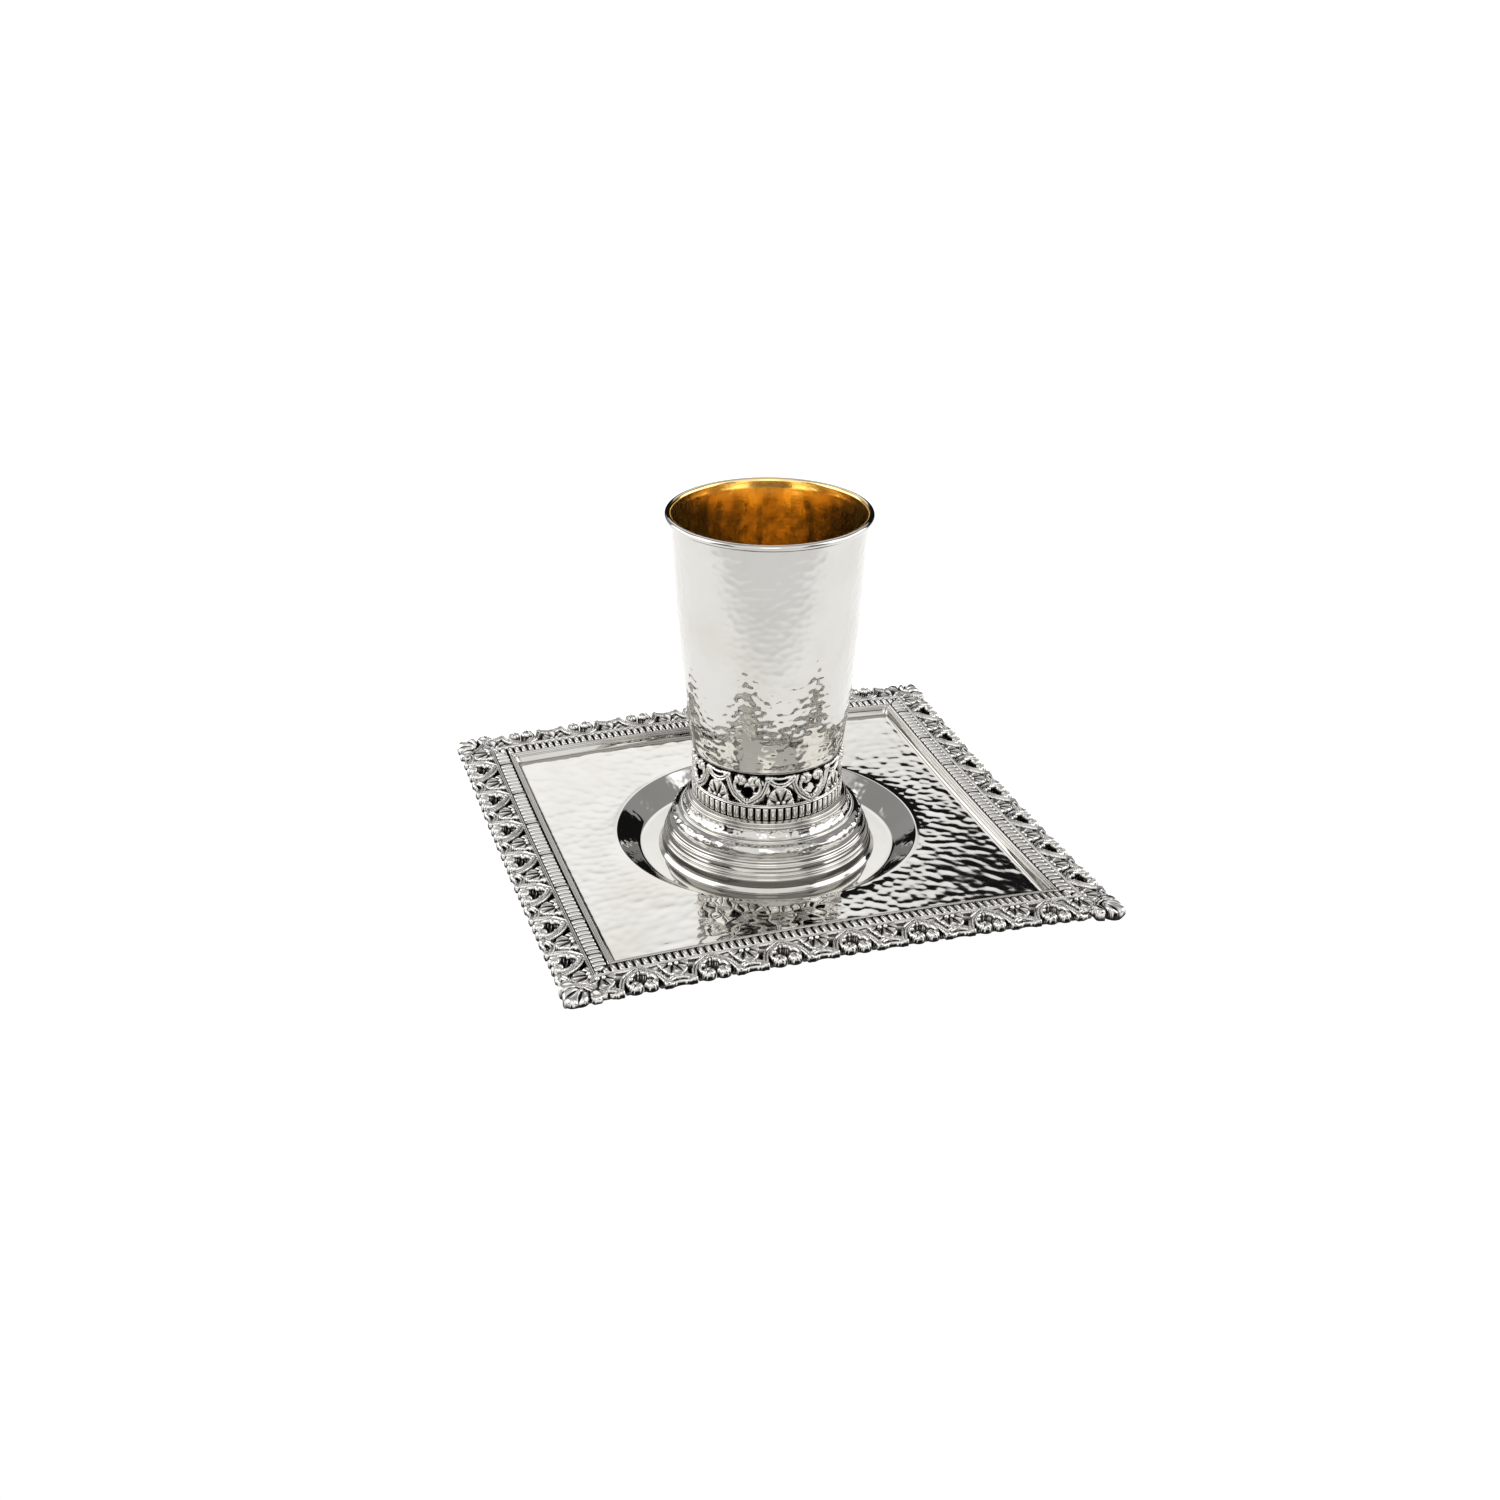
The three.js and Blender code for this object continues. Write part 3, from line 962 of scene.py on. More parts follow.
@dataclass
class CupBowl:
    """The tapered beaker with its rolled rim, hammered all over and gilt inside.

    Attributes:
        columns: How many points go round.
        rim_radius: Radius of the circle along the middle of the rolled bead.
        rim_height: Height of that circle.
        bead: Radius of the bead's own section.
        blow_pitch: Distance between hammer blows.
        blow_depth: Depth of a dimple outside.
        inner_share: Depth of a dimple inside, as a share of that.
        mean_radius: Radius at which the blows keep their true distance round the bowl.
        hammered_from: Heights between which the dimples begin.
        hammered_to: Heights between which they end.
        drawn_depth: Depth of the upright waves that the mandrel leaves inside.
        drawn_waves: Each of those waves as its share, its number round the bowl and its phase.
        step: Longest piece of the outer section.
        inner_step: Longest piece of the inner section.
    """

    columns: int = 264
    rim_radius: float = 32.15
    rim_height: float = 118.1
    bead: float = 1.1
    blow_pitch: float = 2.3
    blow_depth: float = 0.052
    inner_share: float = 0.55
    mean_radius: float = 28.5
    hammered_from: tuple[float, float] = (38.3, 40.5)
    hammered_to: tuple[float, float] = (113.5, 116.5)
    drawn_depth: float = 0.1
    drawn_waves: tuple[tuple[float, int, float], ...] = ((0.6, 17, 1.3), (0.5, 26, 0.4), (0.3, 39, 2.1))
    step: float = 0.62
    inner_step: float = 2.2

    def section(self) -> tuple[Array, Array]:
        """Draws the wall as two splines outside, an arc for the bead and one spline inside.

        Returns:
            The outer wall from the middle of the base up to the bead, and the bead with the inner wall
            down to the middle of the bottom.
        """
        lower = spline([(0.5, 35.4), (12.0, 35.5), (20.0, 35.8), (22.6, 36.7), (23.25, 37.7), (24.0, 38.05),
                        (24.75, 38.3), (25.05, 39.0), (25.15, 40.2), (25.3, 42.2)], 52)
        side = spline([(25.3, 42.2), (25.98, 46.5), (26.68, 51.0), (27.75, 62.6), (28.9, 75.0),
                       (29.9, 90.0), (30.8, 104.0), (31.25, 112.0), (31.45, 116.6)], 44)
        outside = np.concatenate([lower[:-1], side])
        bead = arc(self.rim_radius, self.rim_height, self.bead, -128, 185, 26)
        inner = spline([(30.75, 116.6), (30.35, 112.0), (29.9, 104.0), (29.0, 90.0), (28.0, 75.0),
                        (26.85, 62.6), (25.7, 51.0), (24.6, 42.6), (23.5, 39.6), (21.8, 37.9), (19.5, 36.9),
                        (12.0, 36.4), (0.5, 36.3)], 50)
        return resampled(outside, self.step), np.concatenate([bead, resampled(inner, self.inner_step)])

    def relief(self, section: Array, inner: Array) -> Array:
        """Works out the dimples of both walls and the upright waves inside.

        Args:
            section: The whole section, shape (rows, 2).
            inner: Which of its points are on the bead or the inner wall, shape (rows,).

        Returns:
            The relief, shape (rows, columns), which fades out towards the rim and the base.
        """
        height = section[:, 1]
        angle = np.linspace(0, 2 * np.pi, self.columns, endpoint=False)
        wrap = round(2 * np.pi * self.mean_radius / self.blow_pitch) * self.blow_pitch
        across = np.broadcast_to(angle / (2 * np.pi) * wrap, (len(section), self.columns))
        along = np.broadcast_to(arc_length(section)[:, None], across.shape)
        marks = hammer_marks(across, along, self.blow_pitch, seed=11, wrap=wrap)
        hammered = between(height, self.hammered_from, self.hammered_to)
        bead_foot, fade_high, fade_low = 116.0, 8.0, (40.0, 46.0)
        hammered[inner & (height > bead_foot)] = 0.0
        depth = np.where(inner, self.inner_share * self.blow_depth, self.blow_depth)
        waves = sum(share * np.cos(number * angle + phase) for share, number, phase in self.drawn_waves)
        drawn = np.where(inner, self.drawn_depth * smooth_step(bead_foot - height, 0.0, fade_high), 0.0)
        drawn *= smooth_step(height, *fade_low)
        return marks * (hammered * depth)[:, None] + waves * drawn[:, None]

    def gilt(self, centres: Array) -> Array:
        """Tells the gilt faces, which lie nearer the axis than the middle of the wall or the bottom.

        Args:
            centres: Middles of the faces in millimetres, shape (f, 3).

        Returns:
            1 for each gilt face and 0 for each other one, shape (f,).
        """
        radius, height = np.hypot(centres[:, 0], centres[:, 1]), centres[:, 2]
        wall_heights = [36.0, 42.4, 62.6, 116.6, 119.3]
        wall_radii = [23.0, 25.05, 27.3, 31.1, self.rim_radius - 0.35]
        wall_foot, bottom_middle, bottom_radius = 38.5, 35.95, 22.0
        wall = (radius < np.interp(height, wall_heights, wall_radii)) & (height > wall_foot)
        bottom = (height < wall_foot) & (height > bottom_middle) & (radius < bottom_radius)
        return wall | bottom

    def build(self) -> bpy.types.Object:
        """Makes the bowl: its section, turned round the axis and beaten.

        Returns:
            The finished piece.
        """
        outside, inside = self.section()
        section = np.concatenate([outside, inside])
        inner = np.arange(len(section)) >= len(outside)
        grid = turned(section, self.columns, self.relief(section, inner))
        finishes = [BOWL_SILVER.material(), GILDING.material()]
        made = make_object("bowl", closed_grid(grid), finishes, self.gilt)
        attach(made, "root")
        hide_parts("cup_bowl")
        return made


@dataclass
class CupFoot:
    """The spun foot: beads, a hammered cove and torus, and turned steps down to a flared edge.

    Attributes:
        columns: How many points go round.
        step: Longest piece of the outer section.
        blow_pitch: Distance between hammer blows.
        blow_depth: Depth of a dimple on the torus.
        cove_share: Depth of a dimple in the cove, as a share of that.
        mean_radius: Radius at which the blows keep their true distance round the foot.
        torus_from: Heights between which the torus's dimples begin.
        torus_to: Heights between which they end.
        cove_from: Heights between which the cove's dimples begin.
        cove_to: Heights between which they end.
    """

    columns: int = 252
    step: float = 0.4
    blow_pitch: float = 2.1
    blow_depth: float = 0.2
    cove_share: float = 0.5
    mean_radius: float = 31.0
    torus_from: tuple[float, float] = (11.6, 12.6)
    torus_to: tuple[float, float] = (14.6, 15.1)
    cove_from: tuple[float, float] = (16.2, 16.6)
    cove_to: tuple[float, float] = (18.6, 19.1)

    def section(self) -> Array:
        """Draws the outside in turned members, from the bottom edge up to the middle of the top."""
        members = [
            np.array([(35.6, 1.0), (36.4, 1.0), (36.5, 1.15), (36.45, 1.35)]),
            spline([(36.4, 1.4), (35.75, 2.0), (35.2, 2.65), (34.75, 3.3)], 9),
            arc(34.4, 3.75, 0.55, 0, 75, 7),
            np.array([(34.6, 4.45)]),
            arc(34.4, 4.8, 0.6, 0, 75, 7),
            np.array([(34.5, 5.9)]),
            arc(34.05, 6.35, 0.62, -10, 75, 8),
            np.array([(34.1, 7.4), (33.95, 7.9), (33.7, 8.4)]),
            arc(33.2, 8.9, 0.55, -15, 75, 7),
            np.array([(33.0, 9.8)]),
            arc(32.35, 10.3, 0.6, -20, 75, 7),
            np.array([(31.9, 11.2), (31.6, 11.45)]),
            arc(29.9, 13.1, 2.0, -50, 68, 24),
            np.array([(30.2, 15.1), (29.5, 15.35)]),
            arc(28.75, 15.75, 0.45, -20, 120, 6),
            spline([(28.2, 16.3), (27.5, 17.0), (27.0, 18.0), (26.7, 19.2)], 14),
            arc(26.55, 19.75, 0.45, -50, 80, 7),
            arc(25.8, 20.7, 0.5, -50, 90, 7),
            np.array([(25.3, 21.45), (24.9, 21.6), (0.5, 21.6)]),
        ]
        return np.concatenate(members)

    def build(self) -> bpy.types.Object:
        """Makes the foot, with marks beaten over the torus and the cove, and its hollow beneath.

        Returns:
            The finished piece.
        """
        outer = resampled(self.section(), self.step)
        under = resampled(np.array([(0.5, 20.7), (24.8, 20.7), (26.1, 17.4), (30.6, 12.6), (35.3, 4.0),
                                    (35.5, 1.0)]), 3.0)
        section = np.concatenate([outer, under])
        angle = np.linspace(0, 2 * np.pi, self.columns, endpoint=False)
        wrap = round(2 * np.pi * self.mean_radius / self.blow_pitch) * self.blow_pitch
        across = np.broadcast_to(angle / (2 * np.pi) * wrap, (len(section), self.columns))
        along = np.broadcast_to(arc_length(section)[:, None], across.shape)
        marks = hammer_marks(across, along, self.blow_pitch, seed=5, wrap=wrap)
        height, mean_mark = section[:, 1], 0.8
        torus = between(height, self.torus_from, self.torus_to)
        cove = between(height, self.cove_from, self.cove_to)
        beaten = torus + self.cove_share * cove
        beaten[len(outer):] = 0.0
        grid = turned(section, self.columns, (marks - mean_mark) * (beaten * self.blow_depth)[:, None])
        tone = np.broadcast_to(groove_tone(section)[:, None], across.shape)
        made = make_object("foot", closed_grid(grid, tone), [SPUN_SILVER.material()])
        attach(made, "root")
        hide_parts("cup_foot")
        return made


@dataclass
class CupCollar:
    """Seven periods of the gallery strip, bent to a ring with its leaves up.

    Attributes:
        periods: How many periods of the strip go round.
        base: Height of the strip's fluted edge.
        bore: Radius of the strip's underside.
        depth: How deep the relief is here, as a share of the flat strip's.
        first_lyre: Direction of the first lyre, from +X towards +Y.
        seat_start: Place across the strip where the plain rim that the bowl sits in begins.
        seat: Height of that rim over the underside.
        strip: The strip.
    """

    periods: int = 7
    base: float = 21.6
    bore: float = 23.4
    depth: float = 0.75
    first_lyre: float = math.radians(-71.9)
    seat_start: float = 15.45
    seat: float = 0.9
    strip: GalleryStrip = field(default_factory=GalleryStrip)

    def bent(self, points: Array) -> Array:
        """Bends the flat strip: u turns to an angle about the cup's axis, v to height and w to radius.

        Args:
            points: Points of the flat strip, shape (n, 3).

        Returns:
            The same points on the ring.
        """
        angle = self.first_lyre + 2 * np.pi * points[:, 0] / (self.periods * self.strip.period)
        radius = self.bore + points[:, 2] * self.depth
        return np.stack([radius * np.cos(angle), radius * np.sin(angle), self.base + points[:, 1]], axis=-1)

    def build(self) -> bpy.types.Object:
        """Makes the ring from the flat strip, whose two ends then meet.

        Returns:
            The finished piece.
        """
        strip = self.strip
        along = np.linspace(0, self.periods * strip.period, self.periods * strip.columns + 1)
        sheet = CastSheet.blank(along, strip.rows())
        strip.fluted_band(sheet)
        strip.tile(sheet, 0, self.periods)
        seat = np.minimum(sheet.v - self.seat_start, strip.width - sheet.v + SEAM)
        sheet.add(seat, np.full(seat.shape, self.seat))
        made = make_object("collar", sheet.shell().moved(self.bent), [CAST_SILVER.material()])
        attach(made, "root")
        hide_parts("cup_collar")
        return made


# ---- Saucer -------------------------------------------------------------------------------------------


@dataclass
class Saucer:
    """The saucer's sheet: polished well, hammered panel, and the moulding up to the cast strip.

    Attributes:
        columns: How many points go round.
        sheet: Thickness of the sheet, and height of the well's floor.
        well_floor: Radius of that floor.
        well_rim: Radius of the well's upper edge.
        panel_height: Height of the hammered panel.
        panel_half: Half the panel's side.
        frame_half: Half the side of the square inside the cast strip.
        outer_half: Half the side of the whole saucer.
        saddle: How far the front and back rise, and the sides sink, at the outer edge.
        blow_pitch: Distance between hammer blows on the panel.
        blow_depth: Depth of a dimple there.
        fine_pitch: Distance between blows on the well's wall, as a share of the panel's.
        wall_share: Depth of a dimple on the well's wall, as a share of the panel's.
        panel_from: Distances from the middle between which the panel's dimples begin.
        panel_to: Distances between which they end.
        wall_from: Distances between which the wall's dimples begin.
        wall_to: Distances between which they end.
        moulding: Distances from the middle between which the grooves of the moulding are dark.
    """

    columns: int = 528
    sheet: float = 1.0
    well_floor: float = 42.3
    well_rim: float = 50.5
    panel_height: float = 6.9
    panel_half: float = 70.45
    frame_half: float = 73.8
    outer_half: float = 90.0
    saddle: float = 2.4
    blow_pitch: float = 3.6
    blow_depth: float = 0.035
    fine_pitch: float = 0.55
    wall_share: float = 0.8
    panel_from: tuple[float, float] = (51.5, 52.5)
    panel_to: tuple[float, float] = (69.3, 70.2)
    wall_from: tuple[float, float] = (43.5, 45.5)
    wall_to: tuple[float, float] = (48.5, 49.8)
    moulding: tuple[float, float] = (71.4, 73.6)

    def lift(self, points: Array) -> Array:
        """How far the sprung edge rises at each point: with y squared less x squared."""
        return self.saddle * (points[..., 1] ** 2 - points[..., 0] ** 2) / self.outer_half**2

    def section(self) -> Array:
        """Draws the sheet from the underside's middle out to the flange, and back over the top.

        Returns:
            The closed section, shape (rows, 2). The top comes back over three beads, a cove, the panel and
            the well.
        """
        top, panel, bead = self.sheet, self.panel_height, 0.33
        members = [
            np.array([(0.5, 0.0), (42.0, 0.0)]),
            spline([(42.0, 0.0), (43.2, 0.35), (47.0, 3.0), (50.2, 5.3), (52.0, 5.9)], 14),
            resampled(np.array([(52.0, 5.9), (71.0, 5.9)]), 6.5)[1:],
            np.array([(72.6, 6.3), (77.8, 6.3), (77.8, 7.3), (73.55, 7.3), (73.5, 9.3)]),
            arc(73.15, 9.35, bead, 10, 170, 7),
            arc(72.4, 9.15, bead, 20, 175, 7),
            arc(71.72, 8.75, bead - 0.03, 30, 190, 7),
            spline([(71.35, 8.4), (71.1, 7.9), (70.8, 7.35), (70.55, 7.05), (70.3, 6.93)], 9),
            resampled(np.array([(70.3, panel), (52.0, panel)]), 0.62)[1:],
            spline([(52.0, panel), (51.2, 6.95), (50.6, 6.93), (50.1, 6.6), (49.4, 6.05)], 12)[1:],
            resampled(np.array([(49.4, 6.05), (43.6, 1.55)]), 0.6)[1:],
            spline([(43.6, 1.55), (43.0, 1.15), (self.well_floor, top), (41.0, top)], 6)[1:],
            resampled(np.array([(41.0, top), (0.5, top)]), 5.0)[1:],
        ]
        return np.concatenate(members)

    def relief(self, grid: Array, radius: Array) -> Array:
        """Works out the dimples on the panel and finer ones on the well's wall.

        Args:
            grid: The sheet's points, shape (rows, columns, 3).
            radius: Each point's distance from the axis before the sheet was drawn out to a square.

        Returns:
            The relief, shape (rows, columns).
        """
        mean_mark = 0.7
        panel = between(radius, self.panel_from, self.panel_to)
        wall = self.wall_share * between(radius, self.wall_from, self.wall_to)
        marks = hammer_marks(grid[..., 0], grid[..., 1], self.blow_pitch, seed=23)
        fine = hammer_marks(grid[..., 0], grid[..., 1], self.blow_pitch * self.fine_pitch, seed=31)
        return (panel * (marks - mean_mark) + wall * (fine - mean_mark)) * self.blow_depth

    def build(self) -> bpy.types.Object:
        """Makes the sheet: turned round the axis, drawn out from a circle to a square, and beaten.

        A point is drawn out along its radius by the radius over the larger of |x| and |y|. This sets in
        between the well's rim and the panel's edge.

        Returns:
            The finished piece.
        """
        section = self.section()
        grid = turned(section, self.columns)
        radius = np.hypot(grid[..., 0], grid[..., 1])
        stretch = radius / np.maximum(np.abs(grid[..., 0]), np.abs(grid[..., 1]))
        squared = smooth_step(radius, self.well_rim + 1.5, self.panel_half - 2.0)
        factor = 1 + (stretch - 1) * squared
        grid = grid * np.stack([factor, factor, np.ones_like(factor)], axis=-1)
        after_edge = np.arange(len(section)) > np.argmax(section[:, 0])
        top = after_edge & (section[:, 1] > self.sheet - 0.01)
        grid[..., 2] += np.where(top[:, None], self.relief(grid, radius), 0.0)
        grid[..., 2] += self.lift(grid) * smooth_step(radius, self.well_floor + 1.3, 56.0)
        inner, outer = self.moulding
        moulding = top & (section[:, 0] > inner) & (section[:, 0] < outer)
        tone = np.where(moulding, groove_tone(section), 1.0)
        tone = np.broadcast_to(tone[:, None], radius.shape)
        made = make_object("saucer", closed_grid(grid, tone), [SHEET_SILVER.material()])
        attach(made, "root")
        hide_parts("tray_plate")
        return made


class Side(Enum):
    """The saucer's sides, each with how many quarter turns it is from the back."""

    BACK = 0
    LEFT = 1
    FRONT = 2
    RIGHT = 3


@dataclass
class SaucerBorder:
    """One side of the border: seven lyres, the shells between them, and the leaves at one corner.

    Attributes:
        side: Which side it is.
        saucer: The saucer that it is soldered to.
        underside: Height of the strip's underside beneath the flutes.
        flute_band: Width of the fluted band, which lies level.
        fall: How far the lattice slopes down from there to its outer edge.
        last_lyre: Number of the last lyre, where the one in the middle of the side is number 0.
        corner_start: Distance from the frame's corner at which the lattice ends and the leaves begin.
        rib_depth: How far the lattice's ribs stand below the underside.
        strip: The strip.
    """

    side: Side
    saucer: Saucer
    underside: float = 7.6
    flute_band: float = 5.2
    fall: float = 1.0
    last_lyre: int = 3
    corner_start: float = 12.4
    rib_depth: float = 1.6
    strip: GalleryStrip = field(default_factory=GalleryStrip)

    def laid(self, points: Array) -> Array:
        """Lays the flat strip along this side, sloping outwards and following the sprung edge.

        Args:
            points: Points of the flat strip, shape (n, 3).

        Returns:
            The same points on the saucer.
        """
        across = np.maximum(0, points[:, 1] - self.flute_band)
        slope = self.fall * across / (self.strip.width - self.flute_band)
        height = self.underside + points[:, 2] - slope
        x, y = points[:, 0], self.saucer.frame_half + points[:, 1]
        cos, sin = [(1, 0), (0, 1), (-1, 0), (0, -1)][self.side.value]
        flat = np.stack([x * cos - y * sin, x * sin + y * cos, height], axis=-1)
        flat[:, 2] += self.saucer.lift(flat)
        return flat

    def sheet(self) -> CastSheet:
        """Models the side flat: the repeating strip up to its mitres, and the leaves at its far end.

        Returns:
            The sheet, with the middle of the side at u = 0.
        """
        strip, half = self.strip, self.saucer.frame_half
        reach = half + strip.width
        count = round(2 * reach / strip.period * strip.columns)
        sheet = CastSheet.blank(np.linspace(-reach, reach, count + 1), strip.rows(), self.rib_depth)
        mitre = (half + sheet.v - np.abs(sheet.u)) / math.sqrt(2)
        strip.fluted_band(sheet, mitre)
        strip.tile(sheet, -self.last_lyre, self.last_lyre)
        outwards = (np.abs(sheet.u) - half + sheet.v) / math.sqrt(2)
        sheet.metal = np.minimum(sheet.metal, np.minimum(mitre - SEAM, self.corner_start - outwards))
        at_end, nowhere = sheet.u > 0, 50.0
        self.corner(sheet, np.where(at_end, np.abs(mitre), nowhere), np.where(at_end, outwards, -nowhere))
        margin = np.minimum(reach - np.abs(sheet.u), strip.width - sheet.v)
        sheet.metal = np.minimum(sheet.metal, margin)
        return sheet

    def corner(self, sheet: CastSheet, aside: Array, outwards: Array) -> None:
        """Adds a palmette on the corner's diagonal, a leaf on either side and the arms that hold them.

        The palmette is an oval of ribs that fan out from its foot. A leaf is an oval cushion, turned away
        from the diagonal.

        Args:
            sheet: The sheet to add to.
            aside: Distance of each grid point from the diagonal.
            outwards: Place of each grid point along it, from the saucer's frame.
        """
        arm = along_curve(aside, outwards, [(7.0, 12.9), (5.0, 13.1), (2.6, 12.7), (0.0, 12.2)])
        sheet.double_line(arm, half=0.85, top=2.0)
        half, length, middle, fan_foot, cut, ribs = 4.1, 4.6, 16.9, 13.4, 14.4, 4.6
        rib = np.abs(np.cos(np.arctan2(aside, np.maximum(outwards - fan_foot, 0.01)) * ribs))
        size = np.hypot(aside / half, (outwards - middle) / length) * (1.08 - 0.12 * rib)
        inside = np.minimum(half * (1 - size), outwards - cut)
        sheet.add(inside, 0.9 + 1.1 * rib * rounded(inside, 0.9) + 0.8 * rounded(inside, 2.4))
        turn, half, length = math.radians(45.0), 2.0, 2.8
        du, dv = aside - 5.0, outwards - 14.5
        across = du * math.cos(turn) - dv * math.sin(turn)
        along = dv * math.cos(turn) + du * math.sin(turn)
        inside = half * (1 - np.hypot(across / half, along / length))
        sheet.add(inside, 0.8 + 1.6 * rounded(inside, 1.4))
        sheet.knob(aside, outwards - 14.9, size=1.0, low=0.8, top=2.6)

    def build(self) -> bpy.types.Object:
        """Makes this side of the border.

        Returns:
            The finished piece.
        """
        name = self.side.name.lower()
        shell = self.sheet().shell().moved(self.laid)
        made = make_object(f"border_{name}", shell, [CAST_SILVER.material()])
        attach(made, "root")
        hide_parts(f"tray_border_{name}")
        return made


# ---- Studio -------------------------------------------------------------------------------------------


@dataclass(frozen=True)
class StudioPanel:
    """A lit or black panel of the studio, seen from the set as an upright oblong with soft edges.

    Attributes:
        azimuth: Direction of its middle in degrees, from +X towards +Y.
        elevation: Height of its middle in degrees.
        half_width: Half its width in degrees.
        half_height: Half its height in degrees.
        light: Its brightness.
        soft: Half the width of its edge, as a share of its distance.
    """

    azimuth: float
    elevation: float
    half_width: float
    half_height: float
    light: float
    soft: float = 0.05

    def over(self, tree: bpy.types.NodeTree, direction: bpy.types.NodeSocket,
             level: bpy.types.NodeSocket) -> bpy.types.NodeSocket:
        """Lays the panel over what is behind it.

        The direction is split along the panel's own axes. Divided by the part towards the panel, the
        other two parts are its place on the panel's plane.

        Args:
            tree: The world's node tree.
            direction: Socket of the direction looked in.
            level: Socket of the brightness behind the panel.

        Returns:
            Socket of the brightness with the panel in front.
        """
        az, el = math.radians(self.azimuth), math.radians(self.elevation)
        forward = (math.cos(el) * math.cos(az), math.cos(el) * math.sin(az), math.sin(el))
        right = (math.sin(az), -math.cos(az), 0.0)
        up = (-math.sin(el) * math.cos(az), -math.sin(el) * math.sin(az), math.cos(el))
        parts = [add_node(tree, "ShaderNodeVectorMath", {"operation": "DOT_PRODUCT"},
                          {0: direction, 1: axis}).outputs["Value"] for axis in (forward, right, up)]
        ahead = add_node(tree, "ShaderNodeMath", {"operation": "MAXIMUM"}, {0: parts[0], 1: 0.01})
        mask = None
        for part, half in ((parts[1], self.half_width), (parts[2], self.half_height)):
            place = add_node(tree, "ShaderNodeMath", {"operation": "DIVIDE"},
                             {0: part, 1: ahead.outputs["Value"]})
            size = add_node(tree, "ShaderNodeMath", {"operation": "ABSOLUTE"}, {0: place.outputs["Value"]})
            edge = math.tan(math.radians(half))
            inside = add_node(tree, "ShaderNodeMapRange", {"interpolation_type": "SMOOTHSTEP"},
                              {"Value": size.outputs["Value"], "From Min": edge - self.soft,
                               "From Max": edge + self.soft, "To Min": 1.0, "To Max": 0.0})
            mask = inside.outputs["Result"] if mask is None else add_node(
                tree, "ShaderNodeMath", {"operation": "MULTIPLY"},
                {0: mask, 1: inside.outputs["Result"]}).outputs["Value"]
        return add_node(tree, "ShaderNodeMix", {"data_type": "FLOAT"},
                        {0: mask, 2: level, 3: self.light}).outputs[0]


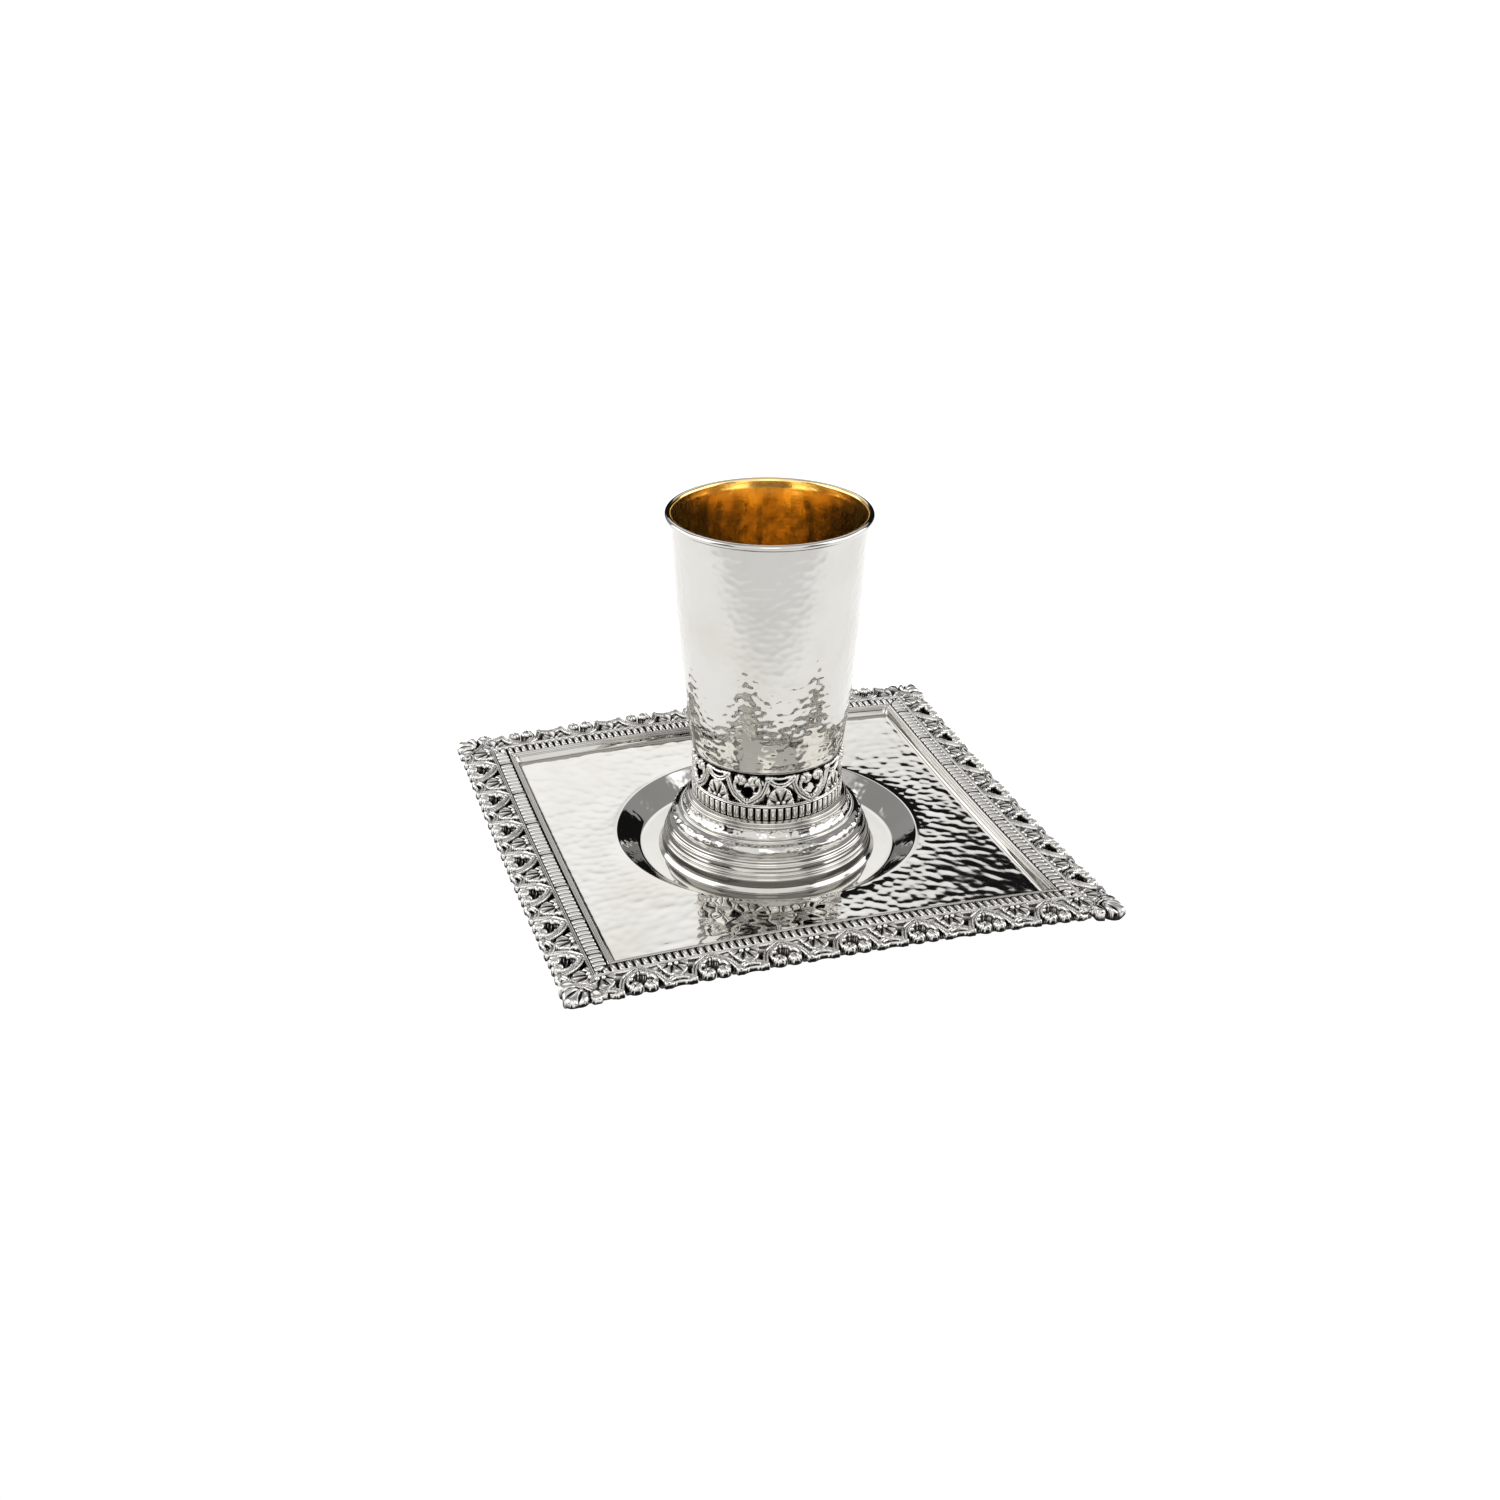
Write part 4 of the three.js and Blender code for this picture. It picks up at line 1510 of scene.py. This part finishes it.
@dataclass
class Studio:
    """A plain pale floor, soft light from all round, and the camera.

    Attributes:
        camera_place: Where the camera stands, in millimetres.
        camera_turn: How it is turned about X, Y and Z, in degrees.
        lens: Its focal length.
        sensor: Width of its sensor.
        floor_radius: Radius of the table.
        floor_depth: Thickness of the table.
        floor_gap: How far it lies under the saucer, so that the two faces don't flicker.
        table_front: Direction in which the table's light falls off.
        fall_off: Distances that way between which it does.
        glow: The table's light before and after.
        table_colour: Colour of the table.
        painted_shadow_colour: Colour of the shadow painted on the table under the saucer.
        painted_shadow_half: Half the painted shadow's sides. It ends under the openings of the left and
            right borders, and short of those of the other two.
        painted_shadow_soft: Width of its edge.
        room_dark: Brightness of the room at and below the horizon.
        room: Its brightness above.
        room_rise: Sines of the elevation between which it changes.
        sky: Brightness of the upper sky that lights the floor.
        sky_rise: Sines of the elevation between which that sky begins.
        backdrop: Brightness that the camera sees beyond the table.
        panels: The panels, each laid over those before it.
    """

    camera_place: tuple[float, float, float] = (-186.4, -559.9, 325.2)
    camera_turn: tuple[float, float, float] = (63.816, -0.326, -17.701)
    lens: float = 47.4
    sensor: float = 36.0
    floor_radius: float = 6000.0
    floor_depth: float = 5.0
    floor_gap: float = 0.05
    table_front: tuple[float, float] = (-0.309, -0.951)
    fall_off: tuple[float, float] = (100.0, 210.0)
    glow: tuple[float, float] = (0.9, 0.6)
    table_colour: str = "#c8c8c8"
    # Painted shadow: a dark square on the table under the saucer, where the table does not glow.
    painted_shadow_colour: str = "#1c1c1c"
    painted_shadow_half: tuple[float, float] = (84.0, 73.0)
    painted_shadow_soft: float = 3.0
    room_dark: float = 0.01
    room: float = 0.41
    room_rise: tuple[float, float] = (0.13, 0.2)
    sky: float = 0.3
    sky_rise: tuple[float, float] = (0.25, 0.45)
    backdrop: float = 0.9
    panels: tuple[StudioPanel, ...] = (
        StudioPanel(azimuth=252.0, elevation=9.0, half_width=72.0, half_height=15.0, light=0.02),
        StudioPanel(azimuth=252.0, elevation=36.0, half_width=38.0, half_height=33.0, light=1.2, soft=0.06),
        StudioPanel(azimuth=253.0, elevation=38.0, half_width=9.0, half_height=10.0, light=2.4),
        StudioPanel(azimuth=155.0, elevation=19.0, half_width=32.0, half_height=17.0, light=2.3),
        StudioPanel(azimuth=169.0, elevation=44.0, half_width=19.0, half_height=10.0, light=2.3),
        StudioPanel(azimuth=348.0, elevation=19.0, half_width=30.0, half_height=16.0, light=2.3),
        StudioPanel(azimuth=333.0, elevation=44.0, half_width=15.0, half_height=10.0, light=2.3),
        StudioPanel(azimuth=76.0, elevation=35.0, half_width=18.0, half_height=11.5, light=1.5, soft=0.17),
        StudioPanel(azimuth=58.0, elevation=10.6, half_width=37.0, half_height=15.0, light=0.01,
                    soft=0.012),
        StudioPanel(azimuth=325.0, elevation=66.0, half_width=15.0, half_height=8.0, light=0.9),
        StudioPanel(azimuth=165.0, elevation=63.0, half_width=12.0, half_height=7.0, light=0.8),
        StudioPanel(azimuth=252.0, elevation=84.0, half_width=15.0, half_height=15.0, light=0.9),
    )

    def camera(self) -> None:
        """Sets the camera, in front and to the left, looking down on the set."""
        data = bpy.data.cameras.new("camera")
        data.lens, data.sensor_width = self.lens, self.sensor
        made = bpy.data.objects.new("camera", data)
        made.location = [c * MM for c in self.camera_place]
        made.rotation_euler = Euler([math.radians(a) for a in self.camera_turn])
        bpy.context.scene.collection.objects.link(made)
        bpy.context.scene.camera = made

    def floor(self) -> None:
        """Lays a wide round table just under the saucer, of opal acrylic that is lit from below.

        The eye sees an even white with hardly a shadow, which falls off a little towards the camera. A
        shadow is painted on the table under the saucer: a dark square that does not glow. Seen from behind,
        from a side or from above it darkens the openings of the left and right borders, and its edge can
        show below them.
        """
        sides, rings = 64, np.array([1.0, 0.5, 0.1])[:, None] * self.floor_radius
        angle = np.linspace(0, 2 * np.pi, sides, endpoint=False)
        flat = np.stack([rings * np.cos(angle), rings * np.sin(angle), np.zeros((3, sides))], axis=-1)
        under = flat[:1] - np.array([0, 0, self.floor_depth])
        material, tree = blank_material("opal acrylic shooting table, lit from below")
        place = add_node(tree, "ShaderNodeTexCoord").outputs["Object"]
        front = add_node(tree, "ShaderNodeVectorMath", {"operation": "DOT_PRODUCT"},
                         {0: place, 1: (self.table_front[0] / MM, self.table_front[1] / MM, 0.0)})
        glow = add_node(tree, "ShaderNodeMapRange", {"interpolation_type": "SMOOTHSTEP"},
                        {"Value": front.outputs["Value"], "From Min": self.fall_off[0],
                         "From Max": self.fall_off[1], "To Min": self.glow[0], "To Max": self.glow[1]})
        # Painted shadow: under the saucer the table is coloured dark and its glow is cut off.
        white = self.beside_painted_shadow(tree, place)
        lit = add_node(tree, "ShaderNodeMath", {"operation": "MULTIPLY"},
                       {0: glow.outputs["Result"], 1: white})
        colour = add_node(tree, "ShaderNodeMix", {"data_type": "RGBA"},
                          {0: white, 6: linear(self.painted_shadow_colour), 7: linear(self.table_colour)})
        shader = add_node(tree, "ShaderNodeBsdfPrincipled", None,
                          {"Base Color": colour.outputs[2], "Roughness": 0.9, "Specular IOR Level": 0.1,
                           "Emission Color": (1.0, 1.0, 1.0, 1.0),
                           "Emission Strength": lit.outputs["Value"]})
        add_node(tree, "ShaderNodeOutputMaterial", None, {"Surface": shader.outputs["BSDF"]})
        table = np.concatenate([under, flat]) - np.array([0, 0, self.floor_gap])
        make_object("floor", closed_grid(table), [material])

    def beside_painted_shadow(self, tree: bpy.types.NodeTree, place: bpy.types.NodeSocket) -> bpy.types.NodeSocket:
        """Tells the table from the shadow painted under the saucer: by the larger of how far x and y are
        past its edges.

        Args:
            tree: The table's node tree.
            place: Socket of the place.

        Returns:
            Socket of a value that is 0 in the painted shadow and 1 beside it.
        """
        split = add_node(tree, "ShaderNodeSeparateXYZ", None, {"Vector": place})
        beyond = []
        for axis, half in zip(("X", "Y"), self.painted_shadow_half):
            size = add_node(tree, "ShaderNodeMath", {"operation": "ABSOLUTE"}, {0: split.outputs[axis]})
            beyond.append(add_node(tree, "ShaderNodeMath", {"operation": "SUBTRACT"},
                                   {0: size.outputs["Value"], 1: half * MM}).outputs["Value"])
        far = add_node(tree, "ShaderNodeMath", {"operation": "MAXIMUM"}, {0: beyond[0], 1: beyond[1]})
        return add_node(tree, "ShaderNodeMapRange", {"interpolation_type": "SMOOTHSTEP"},
                        {"Value": far.outputs["Value"], "From Min": 0.0,
                         "From Max": self.painted_shadow_soft * MM}).outputs["Result"]

    def world(self) -> None:
        """Fills the surroundings.

        Metal mirrors a grey room, dark at the horizon, with the panels in it. The floor is lit by the
        upper sky alone, and the camera sees a plain pale backdrop beyond it.
        """
        world = bpy.data.worlds.new("studio")
        bpy.context.scene.world = world
        world.use_nodes = True
        tree = world.node_tree
        tree.nodes.clear()
        direction = add_node(tree, "ShaderNodeTexCoord").outputs["Generated"]
        height = add_node(tree, "ShaderNodeSeparateXYZ", None, {"Vector": direction}).outputs["Z"]

        def rise(low: float, high: float, start: float, end: float) -> bpy.types.NodeSocket:
            """A smooth change from one level to another between two sines of the elevation."""
            return add_node(tree, "ShaderNodeMapRange", {"interpolation_type": "SMOOTHSTEP"},
                            {"Value": height, "From Min": low, "From Max": high, "To Min": start,
                             "To Max": end}).outputs["Result"]

        level = rise(*self.room_rise, self.room_dark, self.room)
        for panel in self.panels:
            level = panel.over(tree, direction, level)
        ray = add_node(tree, "ShaderNodeLightPath")
        level = add_node(tree, "ShaderNodeMix", {"data_type": "FLOAT"},
                         {0: ray.outputs["Is Diffuse Ray"], 2: level,
                          3: rise(*self.sky_rise, 0.0, self.sky)}).outputs[0]
        level = add_node(tree, "ShaderNodeMix", {"data_type": "FLOAT"},
                         {0: ray.outputs["Is Camera Ray"], 2: level, 3: self.backdrop}).outputs[0]
        light = add_node(tree, "ShaderNodeBackground", None, {"Color": (1, 1, 1, 1), "Strength": level})
        add_node(tree, "ShaderNodeOutputWorld", None, {"Surface": light.outputs["Background"]})

    def build(self) -> None:
        """Sets everything up, and shows colours as they are."""
        self.camera()
        self.floor()
        self.world()
        bpy.context.scene.view_settings.view_transform = "Standard"


def main() -> None:
    """Builds the studio and every piece."""
    logging.basicConfig(level=logging.INFO, format="%(name)s: %(message)s")
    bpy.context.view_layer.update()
    Studio().build()
    saucer = Saucer()
    makers = [CupBowl(), CupFoot(), CupCollar(), saucer, *(SaucerBorder(side, saucer) for side in Side)]
    for maker in makers:
        made = maker.build()
        log.info("%s: %d vertices, %d faces", made.name, len(made.data.vertices), len(made.data.polygons))


if __name__ == "__main__":
    main()
